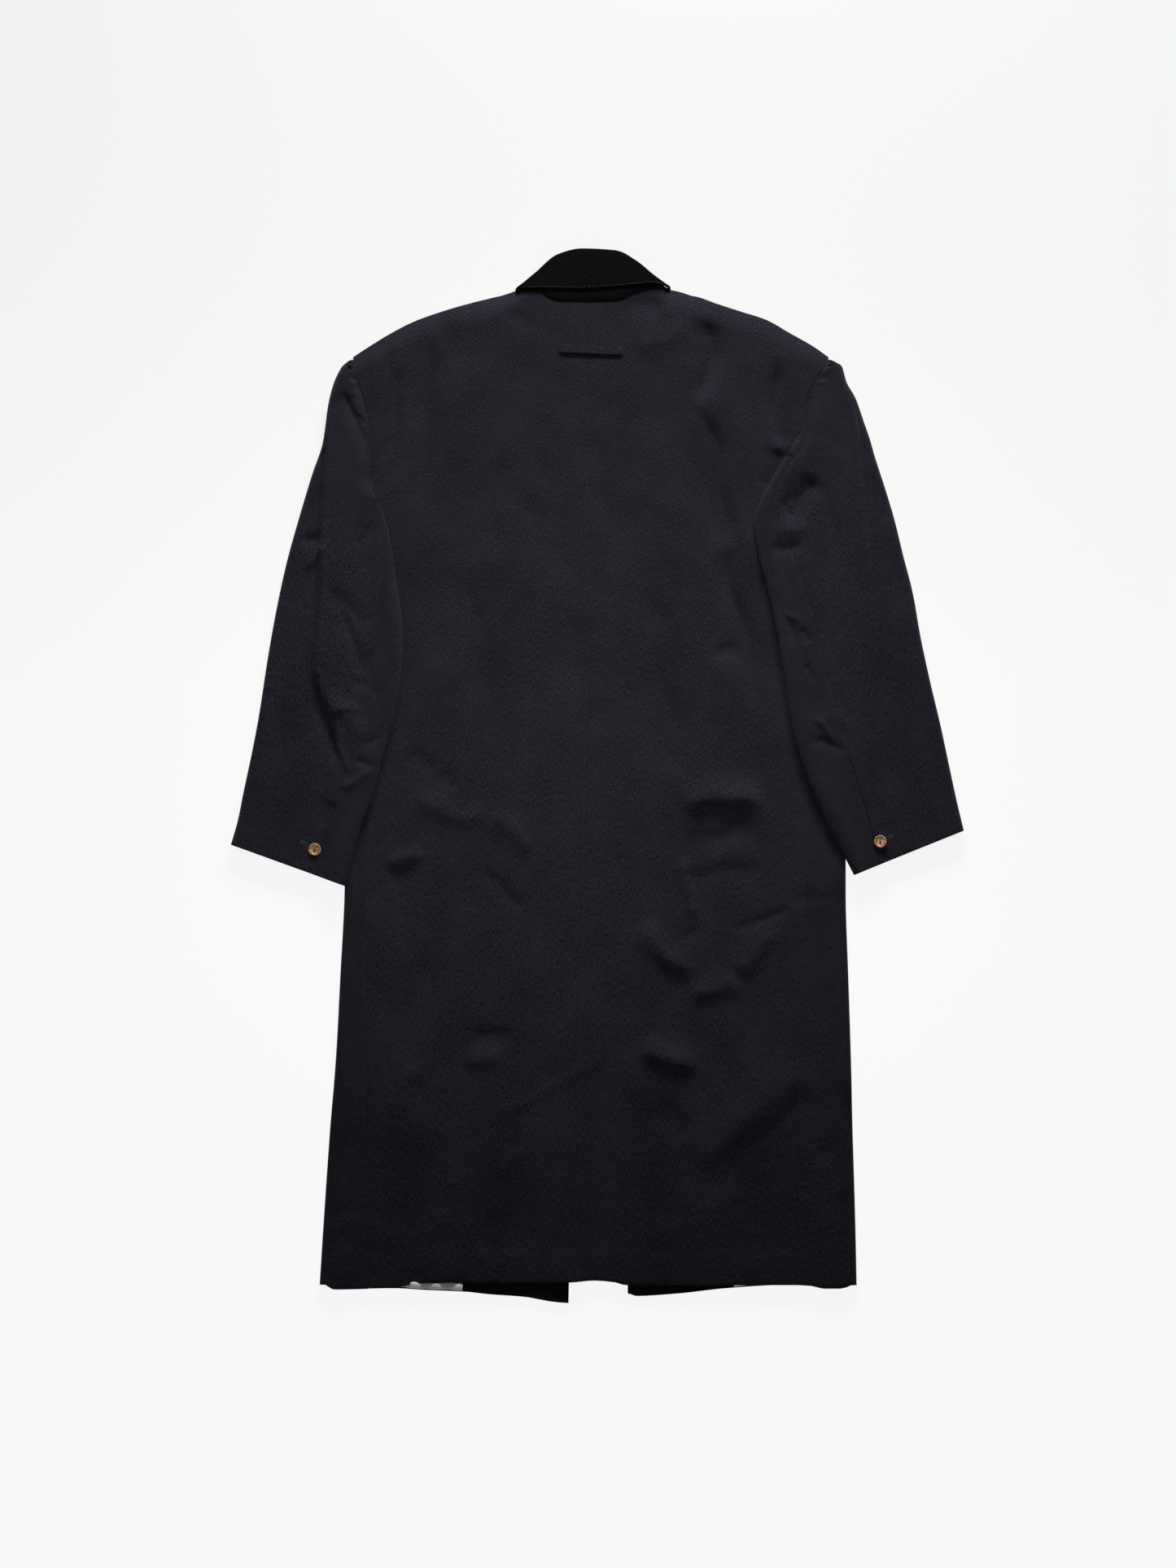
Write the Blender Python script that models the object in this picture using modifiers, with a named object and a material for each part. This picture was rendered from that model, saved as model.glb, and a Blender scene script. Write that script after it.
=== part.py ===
"""Wool overcoat laid flat on its front, back up: each cut piece is a thin closed wall.

The frame has +X to the viewer's right, +Y towards the collar and +Z up, with the origin on the
floor below the middle of the coat. Tables and functions work in millimetres. "Out" is a distance
from x = 0 towards the sleeve on the same side, so one function serves both sides.
"""

import math

import bpy
import numpy as np

MM = 0.001

CLOTH_WALL = 2.0
LINING_WALL = 1.0
FACING_WALL = 1.4
COLLAR_WALL = 1.6
TAB_WALL = 1.2
SEAM_GAP = 0.3
SIDE_SEAM_GAP = 0.8
SLEEVE_SEAM_GAP = 1.0
ARMHOLE_GAP = 1.0
LAYER_GAP = 0.5

UNDERARM_Y = 232
WRAP_STARTS_Y = 258
WRAP_ENDS_Y = 205
SIDE_FOLD_HALF_WIDTH = 6
SLEEVE_FOLD_HALF_WIDTH = 5
SLEEVE_RAMP_START = 7
SLEEVE_RAMP_WIDTH = 12
ROLL_DEPTH = 26
SEAM_HEIGHT_BACK = 7.7
SEAM_HEIGHT_FRONT = 5.0

TAB_LENGTH = 75
TAB_WIDTH = 9.3
TAB_MIDDLE = (-7.5, 484)
TAB_SLOPE = -0.04

BUTTON_DIAMETER = 14.5
BUTTON_THICKNESS = 3.2
BUTTON_RIM = 1.6
BUTTON_STEPS = 24


def table(columns, *rows):
    """Rows of numbers under named columns, kept as one array for each column."""
    return dict(zip(columns.split(), np.array(rows, float).T))


# Upper edge of the body in plan, from shoulder point to shoulder point, with the neck between.
TOP_LINE = table(
    "x y",
    (-279, 479), (-264, 489), (-236, 506), (-208, 520), (-180, 530), (-153, 538), (-125, 545),
    (-102, 549), (-92, 546), (-84, 549), (-71, 557), (-45, 547), (-11, 543), (20, 545),
    (43, 556), (60, 560), (72, 553), (80, 548), (90, 550), (96, 552), (108, 549), (136, 540),
    (164, 531), (192, 522), (219, 507),
    (247, 491), (264, 479),
)

# The same edge of the two fronts, which is lower at the neck.
FRONT_TOP_LINE = table(
    "x y",
    (-279, 479), (-264, 489), (-236, 506), (-208, 520), (-180, 530), (-153, 538), (-125, 545),
    (-104, 549), (-94, 540), (-72, 514), (-50, 487), (-8, 440), (4, 440), (38, 487), (60, 513),
    (84, 541), (94, 550), (108, 549), (136, 540), (164, 531), (192, 522), (219, 507),
    (247, 491), (264, 479),
)

# Lower edges: the back's hem, then the hem of both fronts.
BACK_HEM = table(
    "x y",
    (-264, -585), (-236, -584), (-166, -580), (-32, -578), (-4, -576), (20, -578), (32, -581),
    (225, -581),
)
FRONT_HEM = table(
    "x y",
    (-318, -580), (-305, -586), (-236, -585), (-199, -587), (-153, -589), (-125, -592),
    (-83, -595), (-55, -600), (-33, -602), (35, -591), (43, -594), (94, -591), (150, -585),
    (225, -581), (247, -582), (261, -585), (285, -585), (296, -581),
)

# Lengthwise lines of the body at each height y: the centre-back seam, the edges of both fronts,
# and on each side, as distances out, the fold (above the underarm, the front's armhole) and
# the side seam (above the underarm, the back's armhole).
BODY_LINES = table(
    "y centre front_left front_right fold_left fold_right seam_left seam_right",
    (560, -11, -24, 12, 279, 264, 279, 264),
    (477, -11, -22, 12, 279, 264, 279, 264),
    (464, -11, -20, 11, 275, 259, 278, 257),
    (449, -11, -19, 10, 270, 252, 273, 247),
    (425, -11, -16, 8, 261, 243, 265, 237),
    (400, -11, -14, 6, 253, 235, 260, 234),
    (386, -11, -13, 5, 250, 232, 259, 226),
    (366, -11, -12, 4, 248, 230, 258, 222),
    (330, -11, -11, 3, 247, 229, 257, 225),
    (283, -11, -11, 3, 253, 237, 256, 233),
    (232, -11, -12, 4, 268, 255, 264, 251),
    (194, -11, -13, 5, 277, 272, 264, 248),
    (143, -11, -15, 7, 283, 279, 265, 247),
    (50, -13, -18, 12, 286, 282, 267, 244),
    (-50, -15, -20, 15, 287, 283, 267, 241),
    (-128, -15, -22, 18, 288, 283, 267, 238),
    (-229, -16, -25, 22, 293, 286, 265, 234),
    (-322, -18, -27, 26, 298, 289, 264, 230),
    (-407, -19, -29, 29, 305, 291, 264, 228),
    (-508, -21, -31, 33, 312, 294, 263, 226),
    (-602, -22, -33, 35, 318, 296, 262, 225),
)

# Height of the body's upper face over the floor, in the middle and at the sides.
BODY_HEIGHTS = table(
    "y middle side",
    (560, 17, 14), (477, 16, 14), (400, 14, 12), (300, 12, 11), (200, 11, 10), (0, 9.5, 9),
    (-300, 9, 8.5), (-450, 8.5, 8), (-600, 8, 7.5),
)

# Folds of the back: a ridge or, with a negative height, a trough along a line.
BACK_FOLDS = table(
    "start_x start_y end_x end_y width height",
    (99, -6, 192, -20, 12, 4.5),
    (57, -31, 196, -49, 13, -3),
    (52, -159, 80, -196, 13, 3),
    (47, -190, 103, -226, 13, -2.8),
    (99, -249, 164, -249, 14, -2.5),
    (170, -240, 206, -182, 14, -2.5),
    (47, -303, 117, -308, 13, 3.5),
    (46, -331, 113, -338, 13, -2.8),
    (227, -337, 131, -457, 15, -2.4),
    (-120, -33, -83, -63, 13, 3.5),
    (-129, -50, -80, -96, 13, -3),
    (-136, -103, -84, -144, 13, -2.5),
    (-218, -70, -195, -102, 13, 2.8),
    (-223, -105, -210, -232, 13, -2.5),
    (-218, 22, -166, -15, 16, -2.2),
    (-312, -519, -208, -471, 14, -1.8),
    (-139, -485, -88, -536, 15, -2.4),
    (-30, -340, -109, -380, 14, 1.8),
    (200, 483, 212, 381, 13, -3),
    (225, 470, 226, 400, 12, 2.5),
    (143, 308, 143, 219, 14, -2.6),
    (133, 157, 165, 140, 13, -2.5),
    (80, 534, 136, 478, 13, -2.2),
    (-248, 447, -246, 376, 12, -2.2),
)

SLEEVE_COLUMNS = "outer outer_y inner inner_y under under_y hind ridge high low"

# Crosswise rows of each sleeve, shoulder to cuff. Outer is the silhouette. Inner is the armhole
# seam and, from FIRST_FOLD_ROW, the fold that lies over the back. Under is the end of the top
# sleeve below: the front's armhole, then the front seam. Hind and ridge are shares of the way
# from inner to outer, for the hind seam and the step down. High and low are the heights of the
# upper face on each side of that step.
SLEEVES = {
    "left": table(
        SLEEVE_COLUMNS,
        (285, 473, 280, 476, 281, 475, 0, 1, 13, 12),
        (290, 469, 277, 462, 275, 463, 0, 1, 15, 12),
        (300, 450, 273, 449, 270, 448, 0, 1, 16, 12),
        (307, 422, 264, 422, 260, 422, 0, 1, 17, 11),
        (310, 399, 260, 397, 252, 397, 0, 1, 18, 10.5),
        (313, 380, 258, 370, 248, 370, 0, 0.94, 18, 10),
        (324, 348, 257, 337, 247, 337, 0, 0.82, 18, 9.5),
        (330, 329, 249, 312, 253, 308, 0.04, 0.79, 17.5, 9),
        (341, 292, 239, 278, 275, 285, 0.07, 0.75, 17, 8.5),
        (355, 241, 230, 219, 305, 237, 0.135, 0.7, 17, 8.5),
        (366, 190, 223, 166, 325, 185, 0.22, 0.67, 17, 8.5),
        (376, 134, 225, 111, 340, 130, 0.264, 0.655, 17, 8.5),
        (386, 69, 232, 69, 352, 72, 0.295, 0.47, 16.5, 8.5),
        (394, 27, 246, 20, 362, 24, 0.315, 0.36, 16, 8.5),
        (404, -20, 256, -20, 372, -24, 0.27, 0.325, 15.5, 8.5),
        (410, -50, 272, -62, 378, -56, 0.262, 0.235, 15, 8.5),
        (418, -78, 288, -125, 386, -90, 0.255, 0.16, 14.5, 8.5),
    ),
    "right": table(
        SLEEVE_COLUMNS,
        (271, 473, 265, 476, 266, 475, 0, 1, 13, 12),
        (278, 469, 258, 466, 259, 464, 0, 1, 15, 12),
        (284, 450, 248, 450, 253, 450, 0, 0.95, 16, 11),
        (294, 432, 238, 432, 245, 432, 0, 0.93, 17, 10.5),
        (304, 404, 235, 402, 235, 402, 0, 0.88, 18, 10),
        (310, 387, 226, 387, 232, 385, 0, 0.86, 18, 9.5),
        (316, 366, 215, 365, 233, 352, 0.03, 0.83, 17.5, 9),
        (328, 329, 194, 328, 262, 322, 0.08, 0.81, 17, 8.5),
        (339, 292, 180, 292, 292, 285, 0.17, 0.79, 17, 8.5),
        (348, 255, 185, 253, 315, 245, 0.235, 0.775, 17, 8.5),
        (360, 208, 197, 206, 330, 200, 0.26, 0.72, 17, 8.5),
        (368, 162, 207, 159, 340, 155, 0.28, 0.68, 17, 8.5),
        (380, 106, 216, 106, 351, 102, 0.3, 0.62, 16.5, 8.5),
        (391, 60, 225, 50, 360, 54, 0.335, 0.55, 16, 8.5),
        (400, 18, 238, 6, 370, 12, 0.34, 0.48, 15.5, 8.5),
        (409, -24, 257, -40, 378, -32, 0.325, 0.36, 14.5, 8.5),
        (418, -62, 294, -112, 386, -74, 0.24, 0.3, 12.5, 8.5),
    ),
}
FIRST_FOLD_ROW = {"left": 7, "right": 6}
FIRST_CLOSED_ROW = {"left": 9, "right": 10}
SIDES = {"left": -1, "right": 1}

# Folds of the sleeves' upper faces, in the same terms as those of the back.
SLEEVE_FOLDS = table(
    "start_x start_y end_x end_y width height",
    (-281, 462, -266, 380, 8, -4),
    (-345, 270, -335, 90, 14, -1.5),
    (-270, 90, -236, 105, 12, -2),
    (-262, 50, -240, 62, 10, -2),
    (258, 452, 244, 400, 8, -3),
    (240, 340, 262, 250, 12, -2),
    (262, 60, 290, 78, 12, -2),
    (310, 40, 320, -60, 9, -1),
)

# The collar runs round the neck from its left end, under the coat, over the back of the neck
# and down to its right end. Height is that of the stand at the fold line.
COLLAR = table(
    "x height seam_y fold_y edge_y",
    (-50, 3.6, 484, 518, 491),
    (-72, 3.6, 511, 540, 518),
    (-88, 5.2, 538, 552, 545),
    (-93.5, 10.5, 551, 557, 553),
    (-84, 15.5, 553, 563.5, 557),
    (-69, 18, 554, 575.5, 558),
    (-45, 19, 543, 595, 557),
    (-17, 19.5, 539.5, 601.5, 556.5),
    (20, 19.5, 541, 599.5, 559),
    (43, 19, 552, 588.5, 561.5),
    (63, 18, 557, 572.5, 564),
    (76, 15.5, 557.5, 563.5, 561),
    (82, 10.5, 555, 560, 557),
    (76, 5.2, 540, 553, 547),
    (60, 3.6, 511, 540, 518),
    (38, 3.6, 484, 518, 491),
)
LEAF_OFFSET = 2.6
COLLAR_ROLL = 1.3


def smooth_step(t):
    t = min(max(t, 0.0), 1.0)
    return t * t * (3 - 2 * t)


def mix(a, b, t):
    return a + (b - a) * t


def read(rows, along, column, at):
    """Value of a column where `along` equals `at`, on a curve with no overshoot between rows."""
    x, y = rows[along], rows[column]
    if x[0] > x[-1]:
        x, y = x[::-1], y[::-1]
    at = min(max(at, x[0]), x[-1])
    step = np.diff(x)
    slope = np.diff(y) / step
    tangent = np.concatenate([slope[:1], np.zeros(len(x) - 2), slope[-1:]])
    for i in range(1, len(x) - 1):
        if slope[i - 1] * slope[i] > 0:
            tangent[i] = 2 * slope[i - 1] * slope[i] / (slope[i - 1] + slope[i])
    i = min(max(int(np.searchsorted(x, at, side="right")) - 1, 0), len(x) - 2)
    t = (at - x[i]) / step[i]
    h = step[i]
    return (
        y[i] * (1 + 2 * t) * (1 - t) ** 2
        + tangent[i] * h * t * (1 - t) ** 2
        + y[i + 1] * t * t * (3 - 2 * t)
        - tangent[i + 1] * h * t * t * (1 - t)
    )


def read_row(rows, column, row):
    """Value of a column at a row number that may lie between two rows."""
    numbered = {"row": np.arange(len(rows[column]), dtype=float), column: rows[column]}
    return float(read(numbered, "row", column, row))


def body_line(name, y):
    return read(BODY_LINES, "y", name, y)


def relief(folds, x, y):
    """Sum of the folds at a point: across each it is a bell curve, and its ends die away."""
    total = 0.0
    for x0, y0, x1, y1, width, height in zip(*folds.values()):
        dx, dy = x1 - x0, y1 - y0
        along = ((x - x0) * dx + (y - y0) * dy) / (dx * dx + dy * dy)
        nearest = min(max(along, 0.0), 1.0)
        distance = math.hypot(x - x0 - nearest * dx, y - y0 - nearest * dy)
        total += height * math.exp(-((distance / width) ** 2))
    return total


def body_height(x, y):
    """Height over the floor of the upper face of the body's cloth."""
    centre = body_line("centre", y)
    side = "left" if x < centre else "right"
    half = SIDES[side] * body_line("seam_" + side, y) - centre
    share = smooth_step((x - centre) / half)
    middle, edge = (read(BODY_HEIGHTS, "y", column, y) for column in ("middle", "side"))
    height = mix(middle, edge, share) + relief(BACK_FOLDS, x, y)
    sag = 3.2 * math.exp(-(((x - 2) / 26) ** 2)) * smooth_step((-260 - y) / 200)
    height -= sag
    below_top = read(TOP_LINE, "x", "y", x) - y
    on_shoulder = smooth_step((abs(x + 5) - 84) / 20)
    roll = 1 - math.sin(math.pi / 2 * min(max(below_top / ROLL_DEPTH, 0), 1))
    return mix(height, SEAM_HEIGHT_BACK + CLOTH_WALL / 2, roll * on_shoulder)


def front_height(x, y):
    """Height over the floor of the middle of the front's cloth, where it lies face down."""
    below_top = read(FRONT_TOP_LINE, "x", "y", x) - y
    on_shoulder = smooth_step((abs(x + 5) - 96) / 10)
    lift = (1 - math.sin(math.pi / 2 * min(max(below_top / 14, 0), 1))) * on_shoulder
    return CLOTH_WALL / 2 + (SEAM_HEIGHT_FRONT - CLOTH_WALL / 2) * lift


def cloth(name, across, along, place, wall, finish):
    """A grid of across by along cells, moved to place(u, v) in millimetres and given its wall."""
    bpy.ops.mesh.primitive_grid_add(x_subdivisions=across, y_subdivisions=along, size=1)
    piece = bpy.context.object
    piece.name = name
    for vertex in piece.data.vertices:
        u = round((vertex.co.x + 0.5) * across)
        v = round((vertex.co.y + 0.5) * along)
        vertex.co = [MM * value for value in place(u, v)]
    wall_modifier = piece.modifiers.new("Wall", "SOLIDIFY")
    wall_modifier.thickness = wall * MM
    wall_modifier.offset = 0
    wall_modifier.use_quality_normals = True
    piece.data.shade_smooth()
    piece.data.materials.append(finish)
    collect(piece)
    return piece


def collect(piece):
    for holder in list(piece.users_collection):
        holder.objects.unlink(piece)
    coat.objects.link(piece)


def material(name, colour, roughness):
    finish = bpy.data.materials.new(name)
    finish.use_nodes = True
    shader = finish.node_tree.nodes["Principled BSDF"]
    shader.inputs["Base Color"].default_value = (*colour, 1)
    shader.inputs["Roughness"].default_value = roughness
    shader.inputs["Metallic"].default_value = 0
    return finish


def stations(distances, length, count):
    """Shares of a length: the first distances as given, then even steps to its end."""
    first = [distance / length for distance in distances]
    rest = count - len(first) + 1
    return first + [mix(first[-1], 1, (i + 1) / rest) for i in range(rest)]


def make_back(side):
    """Half of the back, from the centre-back seam to the armhole and side seam."""
    across = 13
    steps = stations((0, 5, 12, 22, 36, 55), 1100, 45)
    sign = SIDES[side]

    def place(i, j):
        u, v = i / across, steps[j]
        shoulder = sign * body_line("seam_" + side, 477)
        top_x = mix(body_line("centre", 540), shoulder, u)
        hem_x = mix(body_line("centre", -580), sign * body_line("seam_" + side, -585), u)
        y = mix(read(TOP_LINE, "x", "y", top_x), read(BACK_HEM, "x", "y", hem_x), v)
        seam = body_line("seam_" + side, y)
        clearance = ARMHOLE_GAP / 2 if y > UNDERARM_Y else SIDE_SEAM_GAP / 2
        inner = body_line("centre", y) + sign * SEAM_GAP / 2
        x = mix(inner, sign * (seam - clearance), u)
        return x, y, body_height(x, y) - CLOTH_WALL / 2

    return cloth("back_" + side, across, len(steps) - 1, place, CLOTH_WALL, wool)


def make_front(side):
    """A front: it lies on the floor, turns up round the side fold and ends at the side seam."""
    floor_cells, fold_cells, strip_cells = 6, 4, 2
    across = floor_cells + fold_cells + strip_cells
    steps = stations((0, 4, 9, 18, 40, 65, 90, 115, 140, 165, 190, 215, 240, 265, 290), 1080, 24)
    sign = SIDES[side]

    def place(i, j):
        v = steps[j]
        top_out = mix(sign * body_line("front_" + side, 440), body_line("fold_" + side, 477),
                      i / across)
        top_y = read(FRONT_TOP_LINE, "x", "y", sign * top_out)
        hem_out = mix(sign * body_line("front_" + side, -600), body_line("fold_" + side, -580),
                      min(i / floor_cells, 1))
        if i > floor_cells + fold_cells:
            back_share = (i - floor_cells - fold_cells) / strip_cells
            hem_out = mix(hem_out, body_line("seam_" + side, -585), back_share)
        y = mix(top_y, read(FRONT_HEM, "x", "y", sign * hem_out), v)
        fold = body_line("fold_" + side, y)
        seam = body_line("seam_" + side, y)
        start = sign * body_line("front_" + side, y)
        wrap = smooth_step((WRAP_STARTS_Y - y) / (WRAP_STARTS_Y - WRAP_ENDS_Y))
        width = min(SIDE_FOLD_HALF_WIDTH, max(fold - seam - 1, 2))
        floor_length = mix(fold - ARMHOLE_GAP / 2 - start, fold - width - start, wrap)
        upper = body_height(sign * seam, y) - CLOTH_WALL / 2
        lower = CLOTH_WALL / 2
        arc_length = math.pi / 2 * (width + (upper - lower) / 2)
        strip_length = max(fold - width - seam - SIDE_SEAM_GAP / 2, 0.4)
        if i <= floor_cells:
            full = floor_length * i / floor_cells
        elif i <= floor_cells + fold_cells:
            full = floor_length + arc_length * (i - floor_cells) / fold_cells
        else:
            strip_share = (i - floor_cells - fold_cells) / strip_cells
            full = floor_length + arc_length + strip_length * strip_share
        walk = mix(floor_length * i / across, full, wrap)
        if walk <= floor_length:
            out, height = start + walk, front_height(sign * (start + walk), y)
        elif walk <= floor_length + arc_length:
            angle = math.pi * (walk - floor_length) / arc_length
            out = fold - width + width * math.sin(angle)
            height = mix(lower, upper, (1 - math.cos(angle)) / 2)
        else:
            out = fold - width - (walk - floor_length - arc_length)
            height = body_height(sign * out, y) - CLOTH_WALL / 2
            height = mix(upper, height, smooth_step((walk - floor_length - arc_length) / 8))
        return sign * out, y, height

    return cloth("front_" + side, across, len(steps) - 1, place, CLOTH_WALL, wool)


def make_strip(name, side, inner, outer, top_y, above_hem, wall, cells, finish):
    """A facing or a lining on the inside of a front, between two distances out at each y."""
    sign = SIDES[side]

    def place(i, j):
        u, v = i / cells[0], j / cells[1]
        hem_out = mix(inner(-585), outer(-585), u)
        hem_y = read(FRONT_HEM, "x", "y", sign * hem_out) + above_hem
        y = mix(top_y, hem_y, v)
        out = mix(inner(y), outer(y), u)
        return sign * out, y, CLOTH_WALL + SEAM_GAP + wall / 2

    return cloth(name, cells[0], cells[1], place, wall, finish)


def make_facing(side):
    sign = SIDES[side]

    def edge(y):
        return sign * body_line("front_" + side, y) + 0.5

    def inner_edge(y):
        return edge(y) + mix(120, 90, smooth_step((y + 100) / 500))

    return make_strip("facing_" + side, side, edge, inner_edge, 432, 0.4, FACING_WALL,
                      (2, 14), facing_cloth)


def make_lining(side):
    sign = SIDES[side]

    def facing_edge(y):
        front = sign * body_line("front_" + side, y) + 0.5
        return front + mix(120, 90, smooth_step((y + 100) / 500)) + 1

    def fold_edge(y):
        return body_line("fold_" + side, y) - 46

    return make_strip("lining_" + side, side, facing_edge, fold_edge, 432, 2.2, LINING_WALL,
                      (3, 12), satin)


def sleeve_row(side, row):
    """The crosswise row of a sleeve at a row number, as a dictionary of its columns."""
    r = {name: read_row(SLEEVES[side], name, row) for name in SLEEVE_COLUMNS.split()}
    armhole = 1 - smooth_step(row - FIRST_FOLD_ROW[side] + 1)
    r["inner"] = mix(r["inner"], body_line("seam_" + side, r["inner_y"]), armhole)
    r["under"] = mix(r["under"], body_line("fold_" + side, r["under_y"]), armhole)
    r["width"] = math.hypot(r["outer"] - r["inner"], r["outer_y"] - r["inner_y"])
    least = (SLEEVE_FOLD_HALF_WIDTH + 1) / r["width"]
    r["hind"] = mix(max(r["hind"], least), ARMHOLE_GAP / 2 / r["width"], armhole)
    return r


def sleeve_top(side, row, share):
    """Point on the upper face of a sleeve, a share of the way from its inner to its outer edge."""
    r = sleeve_row(side, row)
    out = mix(r["inner"], r["outer"], share)
    y = mix(r["inner_y"], r["outer_y"], share)
    step = smooth_step((r["ridge"] - share) / 0.16 + 0.5)
    height = mix(r["low"], r["high"], step)
    height += relief(SLEEVE_FOLDS, SIDES[side] * out, y) * smooth_step(share / 0.12)
    at_seam = 1 - smooth_step((row - FIRST_FOLD_ROW[side] + 1.2) / 1.2)
    seam_height = body_height(SIDES[side] * r["inner"], r["inner_y"])
    from_seam = mix(seam_height, height, smooth_step(share / 0.3))
    return out, y, mix(height, from_seam, at_seam)


def sleeve_below(side, out, y):
    """Height of the middle of the sleeve's lower layer, over the body and then on the floor."""
    fold = body_line("fold_" + side, y)
    inside = min(out, fold - 3)
    on_body = body_height(SIDES[side] * inside, y) + LAYER_GAP + CLOTH_WALL / 2
    ramp_end = fold + SLEEVE_RAMP_START + SLEEVE_RAMP_WIDTH
    ramp = smooth_step((ramp_end - out) / SLEEVE_RAMP_WIDTH)
    return mix(CLOTH_WALL / 2, on_body, ramp)


def make_top_sleeve(side):
    """From its end below, round the outer fold and over the top to the armhole and hind seam."""
    below_cells, fold_cells, top_cells = 2, 4, 8
    across = below_cells + fold_cells + top_cells
    along = 24
    last = len(SLEEVES[side]["outer"]) - 1
    sign = SIDES[side]

    def place(i, j):
        row = last * j / along
        r = sleeve_row(side, row)
        width = r["width"]
        half = min(SLEEVE_FOLD_HALF_WIDTH, 0.3 * width)
        top_end = 1 - half / width
        outer_top = sleeve_top(side, row, top_end)
        lower = CLOTH_WALL / 2
        upper = outer_top[2] - CLOTH_WALL / 2
        if i <= below_cells:
            share = i / below_cells
            start = (r["under"] + ARMHOLE_GAP / 2, r["under_y"], lower)
            point = [mix(a, b, share) for a, b in zip(start, (*outer_top[:2], lower))]
        elif i <= below_cells + fold_cells:
            angle = math.pi * (i - below_cells) / fold_cells
            share = top_end + half / width * math.sin(angle)
            out = mix(r["inner"], r["outer"], share)
            y = mix(r["inner_y"], r["outer_y"], share)
            point = out, y, mix(lower, upper, (1 - math.cos(angle)) / 2)
        else:
            end = r["hind"] + SLEEVE_SEAM_GAP / 2 / width
            share = mix(top_end, end, (i - below_cells - fold_cells) / top_cells)
            out, y, height = sleeve_top(side, row, share)
            point = out, y, height - CLOTH_WALL / 2
        return sign * point[0], point[1], point[2]

    return cloth("top_sleeve_" + side, across, along, place, CLOTH_WALL, wool)


def make_under_sleeve(side):
    """From the hind seam round the inner fold and out below to the front seam."""
    top_cells, fold_cells, body_cells, ramp_cells, floor_cells = 3, 4, 2, 2, 2
    across = top_cells + fold_cells + body_cells + ramp_cells + floor_cells
    first, closed = FIRST_FOLD_ROW[side], FIRST_CLOSED_ROW[side]
    last = len(SLEEVES[side]["outer"]) - 1
    scye_rows = 2 * (closed - first)
    closed_rows = 13
    sign = SIDES[side]

    def ring(i, row):
        """A point of the closed tube's row: hind seam, inner fold, then out below."""
        r = sleeve_row(side, row)
        width = r["width"]
        start = SLEEVE_FOLD_HALF_WIDTH / width
        upper = sleeve_top(side, row, start)[2] - CLOTH_WALL / 2
        if i <= top_cells:
            hind = r["hind"] - SLEEVE_SEAM_GAP / 2 / width
            out, y, height = sleeve_top(side, row, mix(hind, start, i / top_cells))
            return out, y, height - CLOTH_WALL / 2
        if i <= top_cells + fold_cells:
            angle = math.pi * (i - top_cells) / fold_cells
            share = start * (1 - math.sin(angle))
            out, y = mix(r["inner"], r["outer"], share), mix(r["inner_y"], r["outer_y"], share)
            lower = sleeve_below(side, mix(r["inner"], r["outer"], start), y)
            return out, y, mix(upper, lower, (1 - math.cos(angle)) / 2)
        begin = mix(r["inner"], r["outer"], start), mix(r["inner_y"], r["outer_y"], start)
        end_gap = SLEEVE_SEAM_GAP + 1.4 * smooth_step((closed - row) / 2)
        armhole = body_line("fold_" + side, r["under_y"]) + 1.2
        end = max(r["under"] - end_gap, armhole), r["under_y"]
        fold = body_line("fold_" + side, begin[1])
        ramp_from = max(fold + SLEEVE_RAMP_START, begin[0] + 3)
        ramp_to = max(fold + SLEEVE_RAMP_START + SLEEVE_RAMP_WIDTH, ramp_from + 5)
        i -= top_cells + fold_cells
        if i <= body_cells:
            out = mix(begin[0], ramp_from, i / body_cells)
        elif i <= body_cells + ramp_cells:
            out = mix(ramp_from, ramp_to, (i - body_cells) / ramp_cells)
        else:
            out = mix(ramp_to, end[0], (i - body_cells - ramp_cells) / floor_cells)
        y = mix(begin[1], end[1], (out - begin[0]) / (end[0] - begin[0]))
        return out, y, sleeve_below(side, out, y)

    def scye(i):
        """A point of the hollowed top edge, along the back's armhole and then the front's."""
        wrapped = top_cells + fold_cells
        if i <= wrapped:
            return ring(i, first)
        t = (i - wrapped) / (across - wrapped)
        lowest = UNDERARM_Y - 8
        if t <= 0.5:
            begin = ring(wrapped, first)
            y = mix(begin[1], lowest, math.sin(math.pi * t))
            out = mix(begin[0], body_line("seam_" + side, y) - 1, smooth_step(t / 0.2))
            on_body = body_height(sign * out, y) + LAYER_GAP + CLOTH_WALL / 2
            if t == 0.5:
                out = body_line("fold_" + side, y) + 3
                on_body = mix(on_body, CLOTH_WALL / 2, 0.3)
            return out, y, on_body
        end = ring(across, first)
        y = mix(end[1], lowest, math.sin(math.pi * t))
        out = mix(end[0], body_line("fold_" + side, y) + 1.6, smooth_step((1 - t) / 0.2))
        return out, y, CLOTH_WALL / 2

    def place(i, j):
        if j >= scye_rows:
            row = mix(closed, last, (j - scye_rows) / closed_rows)
            out, y, height = ring(i, row)
            return sign * out, y, height
        w, t = j / scye_rows, i / across
        row = mix(first, closed, w)
        top, low = np.array(scye(i)), np.array(ring(i, closed))
        hind, front = np.array(ring(0, row)), np.array(ring(across, row))
        front[2] = CLOTH_WALL / 2
        hind_line = mix(np.array(scye(0)), np.array(ring(0, closed)), w)
        front_line = mix(np.array(scye(across)), np.array(ring(across, closed)), w)
        point = mix(top, low, w) + mix(hind - hind_line, front - front_line, t)
        out, y, height = point
        if t < 0.7 and out < body_line("fold_" + side, y) + 3:
            height = max(height, sleeve_below(side, out, y))
        return sign * out, y, height

    return cloth("under_sleeve_" + side, across, scye_rows + closed_rows, place, CLOTH_WALL, wool)


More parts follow.
